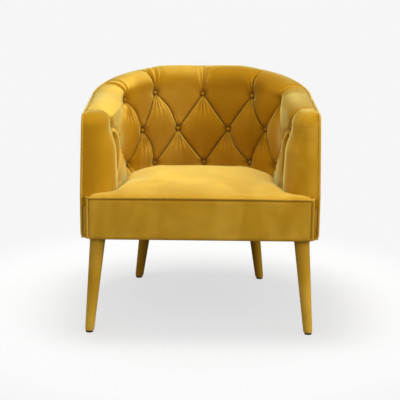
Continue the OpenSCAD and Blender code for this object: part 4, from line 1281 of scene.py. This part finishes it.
def sweep_cord(name, lines, radius, finish):
    """Covered cords along lists of points, with the small puckers of their seams, as one mesh."""
    tree = Shapes("covered cord", Radius=("Float", 0.0035), Step=("Float", 0.003),
                  Pucker=("Float", 0.00022), Material=("Material", None))
    entry = tree.entry
    line = tree.node("GeometryNodeMeshToCurve", {}, {0: entry["Geometry"]})
    line = tree.node("GeometryNodeResampleCurve", {"mode": "LENGTH"},
                     {"Curve": line, "Length": entry["Step"]})
    along = tree.node("GeometryNodeSplineParameter", {}, {}, out="Length")
    size = (along * (2 * math.pi / PUCKER_PITCH)).sin() * entry["Pucker"] + entry["Radius"]
    ring = tree.node("GeometryNodeCurvePrimitiveCircle", {"mode": "RADIUS"},
                     {"Resolution": 14, "Radius": 1.0})
    sweep = tree.node("GeometryNodeCurveToMesh", {}, {
        "Curve": line, "Profile Curve": ring, "Fill Caps": True, "Scale": size})
    tree.end(tree.node("GeometryNodeSetShadeSmooth", {}, {0: sweep, "Shade Smooth": True}))
    points, edges = [], []
    for line in lines:
        edges += [(k, k + 1) for k in range(len(points), len(points) + len(line) - 1)]
        points += list(line)
    piece = tree.run(name, points, edges, Radius=radius, Material=finish_of(finish))
    with reworked(piece.data) as work:
        bmesh.ops.remove_doubles(work, verts=work.verts, dist=1e-6)
        bmesh.ops.recalc_face_normals(work, faces=work.faces)
    return piece


def arm_edge(tub):
    """Outer edge of the arm front in side view, from low on the arm to where it meets the rim."""
    g = tub.g
    _, flat_d, flat_z, _ = pad_section(tub, Buttoning(tub), np.array([3.0]), 0.0, tub.pleat_s)
    # the last three points are the hidden back of the pad
    d, z = flat_d[0, :-3], flat_z[0, :-3] - g.rim_tilt * g.half_width
    top = g.arm_height + g.arm_slope * g.pleat_y - g.edge_drop
    y = tub.pivot_y(z) - g.nose_ratio * (d - g.pivot_distance)
    keep = (z < top - 0.001) & (z > tub.b.bottom_row - 0.001) & (d >= g.crown_distance)
    order = np.argsort(z[keep])
    return points_of(y[keep][order], z[keep][order])


def smooth_line(points, step=0.004, passes=3):
    """Even points along a line, softened at its bends, with its ends kept."""
    points = np.asarray(points, float)
    for _ in range(passes):
        lengths = np.r_[0, np.cumsum(np.linalg.norm(np.diff(points, axis=0), axis=1))]
        at = np.linspace(0, lengths[-1], max(4, int(lengths[-1] / step)))
        points = points_of(*(np.interp(at, lengths, column) for column in points.T))
        inner = (points[:-2] + 2 * points[1:-1] + points[2:]) / 4
        points = np.concatenate([points[:1], inner, points[-1:]])
    return points


def rim_piping_line(tub, foot_r=0.0095):
    """Path of the outer piping: from one bottom corner over the whole rim to the other."""
    g, seat = tub.g, tub.seat
    r = seat.piping_radius
    edge = arm_edge(tub)
    x, y0, low = g.half_width - r, edge[0, 0], g.base_height + r
    turn = np.linspace(0, math.pi / 2, 9)
    ys = np.linspace(edge[-1, 0] + 0.024, tub.side_y - 0.004, 40)
    px, py = tub.plan(np.linspace(tub.station_at(tub.side_y), 0, 90), r)
    half = smooth_line(np.concatenate([
        [[seat.border_width / 2 + 2 * r + 0.001, y0, low]],
        points_of(x - foot_r + foot_r * np.sin(turn), y0, low + foot_r * (1 - np.cos(turn))),
        points_of(x, *edge.T), points_of(x, ys, tub.rim_z(0.0, ys) - g.edge_drop),
        points_of(px, py, tub.rim_z(0.0, py) - g.edge_drop)]))
    half[-1, 0] = 0.0
    whole = mirrored(half)
    whole[:, 2] += g.rim_tilt * whole[:, 0] * ease((whole[:, 2] - seat.height) / 0.15)
    return whole


class CHAIR_OT_piping(bpy.types.Operator):
    """Covered cords round the rim and arm fronts, along the seat and down the border"""
    bl_idname = "chair.piping"
    bl_label = "Piping"

    # bend of the seat's cord at each end, its fall towards them, and its lift over the solid's line
    BEND, FALL, LIFT = 0.009, 0.0022, 0.0008
    # how the border's cords turn in at the foot: over what height, and how far
    FOOT, TURNED = 0.012, 0.003

    def execute(self, context):
        tub = Tub()
        cords = (("rim_piping", [rim_piping_line(tub)], "outer_piping"),
                 ("seat_front_piping", [self.seat_line(tub)], "seat_piping"),
                 ("border_side_piping", self.border_lines(tub), "border_pipings"))
        for name, lines, node in cords:
            piece = sweep_cord(name, lines, tub.seat.piping_radius, "piping velvet")
            finished(piece, "piping velvet", "velvet_piping", node)
        return {"FINISHED"}

    def seat_line(self, tub):
        low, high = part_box("seat_piping")
        r, bend, z = tub.seat.piping_radius, self.BEND, (low.z + high.z) / 2
        x, y = high.x - r, low.y + r
        turn = np.linspace(0, math.pi / 2, 9)
        half = np.concatenate([
            [[x, high.y, z]],
            points_of(x - bend + bend * np.cos(turn), y + bend - bend * np.sin(turn), z),
            points_of(np.linspace(x - bend - 0.004, 0, 60), y, z)])
        half[:, 2] -= self.FALL * (half[:, 0] / x) ** 2 - self.LIFT
        return mirrored(half)

    def border_lines(self, tub):
        low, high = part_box("border_pipings")
        r = tub.seat.piping_radius
        z = np.linspace(low.z + 0.0028, high.z - 0.0012, 48)
        x = high.x - r - self.TURNED * np.clip(1 - (z - low.z) / self.FOOT, 0, 1) ** 2
        return [points_of(side * x, low.y + r, z) for side in (-1, 1)]


class CHAIR_OT_side_strips(bpy.types.Operator):
    """Padded strips between the border and the arm edges"""
    bl_idname = "chair.side_strips"
    bl_label = "Side strips"

    # gap beside the border's cord and to the others, and rounding of the lower corner
    BESIDE, CLEAR, CORNER = 0.0009, 0.0003, 0.0082
    # how far the strip is turned behind the border's cord, how far it goes up there, and its bend:
    # places to the side of the wall and behind the border
    TURNED, TOP = 0.0016, 0.0130
    BEND = ((-0.0060, 0), (-0.0018, 0), (-0.0005, 0.0005), (0, 0.0018), (0.0003, 0.0075))
    # how far the padding swells, from edges that lie as far behind the front
    SWELL = 0.0024

    def execute(self, context):
        tub = Tub()
        g, r = tub.g, tub.seat.piping_radius
        inner = tub.seat.border_width / 2 + 2 * r + self.BESIDE
        outer = g.half_width - 2 * r - self.CLEAR
        low_z, high_z = g.base_height + 2 * r + self.CLEAR, tub.bottom_z - self.CLEAR
        # the strip is turned forward behind the border's piping and closes the rail's end there
        back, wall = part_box("front_border")[1].y, inner - self.TURNED
        turned = np.array(self.BEND) + (wall, back)
        count = len(turned)
        u = np.r_[np.zeros(count), np.linspace(0, 1, 11)][:, None]
        v = np.linspace(0, 1, 61)[None, :]
        z = mix(low_z, high_z, v ** 1.4) + 0 * u
        z[:count] = mix(g.base_height + self.CORNER / 4, high_z, v)
        z[1:count] = mix(g.base_height + self.CORNER / 4, high_z + self.TOP, v)
        # its lower outer corner follows the bend of the piping
        up = np.clip(1 - (z - low_z) / self.CORNER, 0, 1)
        x = mix(inner, outer - self.CORNER * (1 - np.sqrt(1 - up ** 2)), u)
        edge = np.minimum(x - inner, outer - x)
        bulge = self.SWELL * (np.sqrt(np.clip(edge / (outer - inner) * 2, 0, 1))
                              * ease((z - low_z) / 0.008))
        # painted light over the strip, and painted shade along its edges
        shade = -0.25 + 0.3 * np.exp(-edge / 0.0012)
        for side, word in SIDES:
            low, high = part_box(f"{word}_side_strip")
            y = low.y + self.SWELL - bulge
            x[:count], y[:count] = turned[:, :1], turned[:, 1:]
            front = points_of(side * x, y, z)
            piece = padded_panel(f"{word}_strip_panel", front, shade, high.y)
            finished(piece, "outer velvet", "outer_velvet", f"{word}_side_strip", fill=0.4)
        return {"FINISHED"}


class CHAIR_OT_outer_cover(bpy.types.Operator):
    """Outer cover of the tub, one panel from arm to arm with a seam at each rear corner"""
    bl_idname = "chair.outer_cover"
    bl_label = "Outer cover"

    ROWS, THICKNESS = 70, 0.002
    # place of each rear seam as a share of the way to the arm, and the columns that follow it
    SEAM_PLACE = 0.72
    SEAM_COLUMNS = np.array([-0.0045, -0.0028, -0.0016, -0.0008, 0.0,
                             0.0008, 0.0016, 0.0028, 0.0045])
    # distances inside the outline, swell, waviness and the rise of the seams
    OUTER, INNER, SWELL, SLACK, RISE = 0.0018, 0.0006, 0.0012, 0.0007, 0.0006
    # how the waves run, where they start from the ends and from the foot, width of a seam's rise,
    # and gap to the piping
    WAVES, CALM_ENDS, CALM_FOOT, SEAM_WIDTH, MARGIN = (21, 2.2, 13), 0.03, 0.02, 0.0014, 0.0008

    def execute(self, context):
        tub = Tub()
        g = tub.g
        edge = arm_edge(tub)
        margin = tub.seat.piping_radius + self.MARGIN
        # the top of the panel follows the piping, and its ends follow the arm's front edge
        front_low = edge[0, 0] + margin
        lean_z = np.concatenate([[g.base_height], edge[:, 1]])
        lean_y = np.concatenate([[front_low], edge[:, 0] + margin])
        s_end = tub.station_at(front_low)
        v = np.linspace(0, 1, self.ROWS + 1)[None, :]
        # close columns follow each seam, and those in front of it are drawn in by the leaning edge
        seam_s = tub.corner_s * self.SEAM_PLACE
        kept = seam_s + self.SEAM_COLUMNS[-1]
        side = np.concatenate([np.linspace(0, seam_s - 0.009, 66), seam_s + self.SEAM_COLUMNS,
                               np.linspace(kept + 0.004, s_end, 56)])
        nominal = np.concatenate([-side[:0:-1], side])[:, None]
        z = mix(g.base_height, tub.rim_at(nominal) - g.edge_drop - margin, v)
        for _ in range(6):
            ends = np.interp(z, lean_z, lean_y)
            reach = tub.station_at(ends)
            drawn = np.clip(np.abs(nominal) - kept, 0, None) * (s_end - reach) / (s_end - kept)
            s = np.sign(nominal) * (np.abs(nominal) - drawn)
            top = tub.rim_at(s) - g.edge_drop - margin
            z = mix(g.base_height, top[:, -1:], v)
        seam = np.exp(-((np.abs(s) - seam_s) / self.SEAM_WIDTH) ** 2)
        ends = np.clip((reach - np.abs(s)) / self.CALM_ENDS, 0, 1)
        lows = np.clip((z - g.base_height) / self.CALM_FOOT, 0, 1)
        tight = self.SWELL * np.sin(math.pi * v) * np.minimum(ends, lows)
        slack = self.SLACK * waves(s, z, *self.WAVES) * ends * lows
        d_out = self.OUTER - tight - slack * 0.6 + self.RISE * seam
        outer = points_of(*tub.plan(s, d_out), z)
        inner = points_of(*tub.plan(s, self.INNER + self.THICKNESS), z)
        loop = np.concatenate([outer, inner[:, ::-1]], axis=1)
        # painted shade along each rear seam's groove
        fold = np.concatenate([0.6 * seam, 0 * seam], axis=1)
        piece = right_way(ringed("outer_back_cover", loop, fold))
        finished(piece, "outer velvet", "outer_velvet", "outer_cover")
        return {"FINISHED"}


# ---------------------------------------------------------------- legs, underside and frame


def leg_line(word):
    """Foot and head of a leg's centre line, from the corners of its glide and sleeve."""
    g, half_top = bpy.context.scene.chair_tub, bpy.context.scene.chair_legs.top_diameter / 2
    glide_low, glide_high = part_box(f"{word}_glide")
    low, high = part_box(f"{word}_sleeve")
    foot = Vector(((glide_low.x + glide_high.x) / 2, (glide_low.y + glide_high.y) / 2, 0.0))
    # each leg leans outwards, so the inner corner of its box is half a diameter from the head
    head_x = low.x + half_top if foot.x > 0 else high.x - half_top
    head_y = low.y + half_top if foot.y > 0 else high.y - half_top
    return foot, Vector((head_x, head_y, g.base_height))


class CHAIR_OT_legs(bpy.types.Operator):
    """Velvet sleeves on the four tapered legs"""
    bl_idname = "chair.legs"
    bl_label = "Leg sleeves"

    # points round a sleeve, and its painted shading at its foot and at its top: painted highlight
    # below zero, painted shade above, and darker on the rear legs, in the shade under the chair
    AROUND, SHADE = 64, {"front": (-0.28, 0.16), "rear": (0.48, 0.80)}
    # gap at each end of a sleeve, and rounding of its lower edge
    GAP, LIP = 0.0006, 0.0045
    # swell of its top and how far down that reaches, and its seam: depth, place round it, and width
    SWELL, SWELL_REACH, SEAM, SEAM_TURN, SEAM_WIDTH = 0.0010, 0.010, 0.0007, math.pi / 2, 0.09

    def execute(self, context):
        for word in LEGS:
            self.sleeve(word, context.scene.chair_legs, context.scene.chair_tub.base_height)
        return {"FINISHED"}

    def sleeve(self, word, sizes, base):
        foot, head = leg_line(word)
        direction = (head - foot).normalized()
        turn = direction.to_track_quat("Z", "Y").to_matrix()
        low, foot_r, lip = sizes.glide + self.GAP, sizes.bottom_diameter / 2, self.LIP
        profile = [(low + lip * (1 - math.cos(a)), foot_r - lip + lip * math.sin(a))
                   for a in np.linspace(0, math.pi / 2, 7)]
        for z in np.linspace(low + lip, base - self.GAP, 60)[1:]:
            swell = self.SWELL * math.exp(-((base - z) / self.SWELL_REACH) ** 2)
            profile.append((z, mix(foot_r, sizes.top_diameter / 2, z / base) + swell))
        rings = []
        for z, r in profile:
            for k in range(self.AROUND):
                a = 2 * math.pi * k / self.AROUND
                off = (a - self.SEAM_TURN) / self.SEAM_WIDTH
                thread = r - self.SEAM * math.exp(-off ** 2)
                offset = turn @ Vector((thread * math.cos(a), thread * math.sin(a), 0))
                # every ring is cut level, so each point slides along the leg to its ring's height
                rings.append(foot + offset + direction * ((z - offset.z) / direction.z))
        rings = np.array(rings).reshape(len(profile), self.AROUND, 3)
        # painted shading from the foot of each sleeve to its top
        shade = mix(*self.SHADE[word.split("_")[0]], ease(rings[..., 2] / rings[..., 2].max()))
        piece = right_way(ringed(f"{word}_leg_sleeve", rings, shade))
        finished(piece, "leg velvet", "leg_velvet", f"{word}_sleeve", f"{word}_leg")


def within(points, ring):
    """Which points lie inside a closed ring, by counting the edges that they see to the right."""
    x, y = points[:, None, 0], points[:, None, 1]
    start, end = ring[None], np.roll(ring, -1, axis=0)[None]
    crossed = (start[..., 1] > y) != (end[..., 1] > y)
    rise = np.where(crossed, end[..., 1] - start[..., 1], 1.0)
    at = start[..., 0] + (y - start[..., 1]) / rise * (end[..., 0] - start[..., 0])
    return (crossed & (x < at)).sum(axis=1) % 2 == 1


def staple_mesh():
    """A staple: a flat crown, along X, with the start of its two legs going up."""
    half, wire, width, leg = 0.0050, 0.0005, 0.0006, 0.0008
    outline = [(-half, -wire), (half, -wire), (half, leg), (half - wire, leg), (half - wire, 0.0),
               (-half + wire, 0.0), (-half + wire, leg), (-half, leg)]
    mesh = bpy.data.meshes.new("staple")
    with reworked(mesh) as work:
        near, far = ([work.verts.new((x, side * width, z)) for x, z in outline] for side in (-1, 1))
        for k in range(8):
            work.faces.new((near[k], near[(k + 1) % 8], far[(k + 1) % 8], far[k]))
        for loop in (near, far):
            work.faces.new(loop)
        bmesh.ops.recalc_face_normals(work, faces=work.faces)
    return mesh


class CHAIR_OT_underside(bpy.types.Operator):
    """Black dust cloth under the seat, stapled round its edge"""
    bl_idname = "chair.underside"
    bl_label = "Underside"

    THICKNESS, SAG, MESH = 0.0008, 0.003, 0.016
    # gap round each leg, and distance between staples, from the edge and from the legs' openings
    LEG_GAP, STAPLE_PITCH, STAPLE_INSET, STAPLE_CLEAR = 0.003, 0.030, 0.008, 0.008
    # the step behind each front leg: its depth, where it starts, and its width
    STEP_BACK, STEP_FROM, STEP_WIDTH = 0.024, 0.290, 0.020

    def execute(self, context):
        tub = Tub()
        low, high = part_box("dust_cover")
        inset = tub.g.half_width - high.x
        ring = self.outline(tub, inset, low.y, 0.006)
        heads = [np.array(leg_line(word)[1].xy) for word in LEGS]
        hole_r = context.scene.chair_legs.top_diameter / 2 + self.LEG_GAP
        turns = np.linspace(0, 2 * math.pi, 40, endpoint=False)
        circle = hole_r * points_of(np.cos(turns), np.sin(turns))
        holes = [head + circle for head in heads]
        rims = np.concatenate([ring, *holes])
        cloth, flat_area = self.cloth(ring, holes, rims, high.z)
        inner = self.outline(tub, inset + self.STAPLE_INSET, low.y + self.STAPLE_INSET, 0.004)
        line = smooth_line(inner, self.STAPLE_PITCH, 1)
        points, turned = [], []
        for at, way in zip(line, np.diff(line, axis=0)):
            if min(np.linalg.norm(at - head) for head in heads) > hole_r + self.STAPLE_CLEAR:
                z = float(self.height(at[None], rims, high.z)[0]) - self.THICKNESS - 0.00005
                points.append((*at, z))
                turned.append((0.0, 0.0, math.atan2(way[1], way[0])))
        staples = place_shapes("dust_cloth_staples", staple_mesh(), points, turned, "zinc steel")
        finished(staples, "zinc steel", "steel")
        finished(cloth, "black cambric", "cambric", "dust_cover")
        return {"FINISHED"}

    def outline(self, tub, inset, front_y, step):
        """Outline of the tub inside an inset, straight across the front and stepped at its ends."""
        end = tub.station_at(front_y + self.STEP_BACK)
        stations = np.linspace(-end, end, int(2 * end / step))
        x, y = tub.plan(stations, inset)
        across = np.linspace(x[-1], x[0], int((x[-1] - x[0]) / step))[1:-1]
        front = front_y + self.STEP_BACK * ease((np.abs(across) - self.STEP_FROM) / self.STEP_WIDTH)
        return np.concatenate([points_of(x, y), points_of(across, front)])

    def height(self, points, rims, top_z):
        """The cloth hangs a little between the places where it is fixed."""
        off = np.linalg.norm(points[:, None] - rims[None], axis=2).min(axis=1)
        return top_z - 0.0001 - self.SAG * ease(off / 0.16)

    def cloth(self, ring, holes, rims, top_z):
        """The cloth, cut out round the legs, and its area laid flat."""
        low, high = ring.min(axis=0), ring.max(axis=0)
        grid = np.stack(np.meshgrid(*(np.arange(low[k], high[k], self.MESH) for k in (0, 1))),
                        axis=-1).reshape(-1, 2)
        clear = np.linalg.norm(grid[:, None] - rims[None], axis=2).min(axis=1) > self.MESH * 0.45
        coords = np.concatenate([rims, grid[clear & self.covered(grid, ring, holes)]])
        loops, start = [], 0
        for loop in (ring, *holes):
            loops += [(start + k, start + (k + 1) % len(loop)) for k in range(len(loop))]
            start += len(loop)
        made = delaunay_2d_cdt([Vector(point) for point in coords], loops, [], 0, 1e-7)
        flat = np.array([tuple(point) for point in made[0]])
        faces = np.array(made[2])
        faces = faces[self.covered(flat[faces].mean(axis=1), ring, holes)]
        a, b, c = (flat[faces[:, k]] for k in range(3))
        area = float(np.abs(np.cross(b - a, c - a)).sum() / 2)
        z = self.height(flat, rims, top_z)
        piece = new_piece("dust_cloth", points_of(*flat.T, z), faces)
        with reworked(piece.data) as work:
            loose = [v for v in work.verts if not v.link_faces]
            bmesh.ops.delete(work, geom=loose, context="VERTS")
            for vert in fresh(bmesh.ops.extrude_face_region(work, geom=list(work.faces))):
                vert.co.z -= self.THICKNESS
            bmesh.ops.recalc_face_normals(work, faces=work.faces)
        return right_way(piece, 40), area

    def covered(self, points, ring, holes):
        return within(points, ring) & ~np.any([within(points, hole) for hole in holes], axis=0)


class CHAIR_OT_inner_finishes(bpy.types.Operator):
    """Finishes of the frame, webbing, foam and fixings inside the chair"""
    bl_idname = "chair.inner_finishes"
    bl_label = "Inside finishes"

    def execute(self, context):
        words = {"foam": "cream foam", "lining": "grey lining", "webbing": "black webbing",
                 "dust": "black cambric", "board": "fibreboard", "bolts": "zinc steel",
                 "nuts": "zinc steel", "glide": "dark glide"}
        for name, thing in frame["nodes"].items():
            title = next((title for word, title in words.items() if word in name), "beech frame")
            # a hidden node is dressed by a piece of velvet, and is never seen
            material = finish_of("tub velvet" if thing.hide_render else title)
            if not thing.material_slots:
                thing.data.materials.append(material)
            for holder in thing.material_slots:
                holder.material = material
        return {"FINISHED"}


class CHAIR_OT_stage(bpy.types.Operator):
    """Floor, backdrop, lamps and camera"""
    bl_idname = "chair.stage"
    bl_label = "Stage"

    FLOOR, WORLD, AIM = 9.0, 0.42, (0.0, 0.0, 0.45)
    # name, place, side and power. Four light the chair alone, and the last lights the floor
    LAMPS = (("key", (2.7, -0.9, 1.75), 0.9, 38.0), ("high", (0.2, -0.5, 3.0), 1.4, 43.0),
             ("fill right", (2.2, -2.6, 1.8), 1.4, 34.0),
             ("fill left", (-2.2, -2.6, 1.8), 1.4, 24.0), ("floor", (-0.1, 0.1, 2.6), 0.8, 33.0))

    def execute(self, context):
        self.lamps(self.floor())
        self.world()
        stage = context.scene.chair_stage
        camera = bpy.data.cameras.new("camera")
        camera.sensor_width, camera.lens = 36.0, stage.lens
        camera.clip_start, camera.clip_end = 0.05, 60.0
        holder = linked("camera", camera)
        holder.location = stage.camera
        level = Euler((math.pi / 2 - stage.pitch, 0, 0)).to_matrix().to_4x4()
        holder.rotation_euler = (level @ Matrix.Rotation(stage.roll, 4, "Z")).to_euler()
        context.scene.camera = holder
        context.scene.view_settings.view_transform = "Standard"
        return {"FINISHED"}

    def floor(self):
        """A matt floor that shines like the backdrop, with a little more glow round the chair."""
        half = self.FLOOR
        corners = [(-half, -half, 0), (half, -half, 0), (half, half, 0), (-half, half, 0)]
        floor = new_piece("floor", corners, [(0, 1, 2, 3)], smooth=False)
        tint = tuple(bpy.context.scene.chair_colours.floor)
        f = Finish("studio floor")
        ground = f.blend(f.noise(3.0, 2.0) * 0.05, tint, tuple(c * 0.97 for c in tint))
        seen = f.ray("Camera")
        matt = f.node("ShaderNodeBsdfDiffuse", {}, {
            "Color": f.blend(seen, (0.4, 0.4, 0.4), ground), "Roughness": 1.0})
        off = (f.point.part(0) ** 2.0 + f.point.part(1) ** 2.0) ** 0.5
        near = 1.0 - off.step(0.45, 1.0)
        glow = f.node("ShaderNodeEmission", {}, {"Color": BACKDROP, "Strength": near * 0.34 + 1.0})
        floor.data.materials.append(f.surface(f.either(seen * (1.0 - near * 0.5), matt, glow)))
        return floor

    def lamps(self, floor):
        """The floor has a lamp of its own, so that the shadow lies straight under the chair."""
        chair, ground = (bpy.data.collections.new(name) for name in ("lit chair", "lit floor"))
        for thing in bpy.context.scene.objects:
            if thing.type == "MESH":
                (ground if thing is floor else chair).objects.link(thing)
        for name, place, size, power in self.LAMPS:
            light = bpy.data.lights.new(name, "AREA")
            light.shape, light.size, light.energy = "SQUARE", size, power
            holder = linked(name, light)
            holder.location = place
            down = Vector(self.AIM) - Vector(place)
            holder.rotation_euler = down.to_track_quat("-Z", "Y").to_euler()
            holder.light_linking.receiver_collection = ground if name == "floor" else chair

    def world(self):
        """Even light from all round, in front of a plain backdrop."""
        world = bpy.data.worlds.new("studio")
        bpy.context.scene.world = world
        world.use_nodes = True
        w = Nodes(world.node_tree)
        light, shown = (w.node("ShaderNodeBackground", {}, {"Color": tint, "Strength": strength})
                        for tint, strength in (((1.0, 1.0, 1.0), self.WORLD), (BACKDROP, 1.0)))
        seen = w.ray("Camera").most(w.ray("Glossy"))
        w.node("ShaderNodeOutputWorld", {}, {"Surface": w.either(seen, light, shown)})


OPERATORS = (CHAIR_OT_back_pad, CHAIR_OT_arm_pads, CHAIR_OT_arm_fronts, CHAIR_OT_buttons,
             CHAIR_OT_seat, CHAIR_OT_border, CHAIR_OT_piping, CHAIR_OT_side_strips,
             CHAIR_OT_outer_cover, CHAIR_OT_legs, CHAIR_OT_underside, CHAIR_OT_inner_finishes,
             CHAIR_OT_stage)


class CHAIR_PT_panel(bpy.types.Panel):
    """Sizes, colours and pieces of the chair"""
    bl_idname = "CHAIR_PT_panel"
    bl_label = "Buttoned Tub Chair"
    bl_space_type = "VIEW_3D"
    bl_region_type = "UI"
    bl_category = "Chair"

    def draw(self, context):
        for key, group in GROUPS.items():
            box = self.layout.box()
            box.label(text=group.__doc__)
            for name in group.__annotations__:
                box.prop(getattr(context.scene, key), name)
        for operator in OPERATORS:
            self.layout.operator(operator.bl_idname)


def register():
    for kind in (*GROUPS.values(), *OPERATORS, CHAIR_PT_panel):
        bpy.utils.register_class(kind)
    for key, group in GROUPS.items():
        setattr(bpy.types.Scene, key, bpy.props.PointerProperty(type=group))


def unregister():
    for key in GROUPS:
        delattr(bpy.types.Scene, key)
    for kind in reversed((*GROUPS.values(), *OPERATORS, CHAIR_PT_panel)):
        bpy.utils.unregister_class(kind)


def main():
    register()
    for operator in OPERATORS:
        family, name = operator.bl_idname.split(".")
        if "FINISHED" not in getattr(getattr(bpy.ops, family), name)():
            raise RuntimeError(f"{operator.bl_label} didn't finish")


if __name__ == "__main__":
    main()
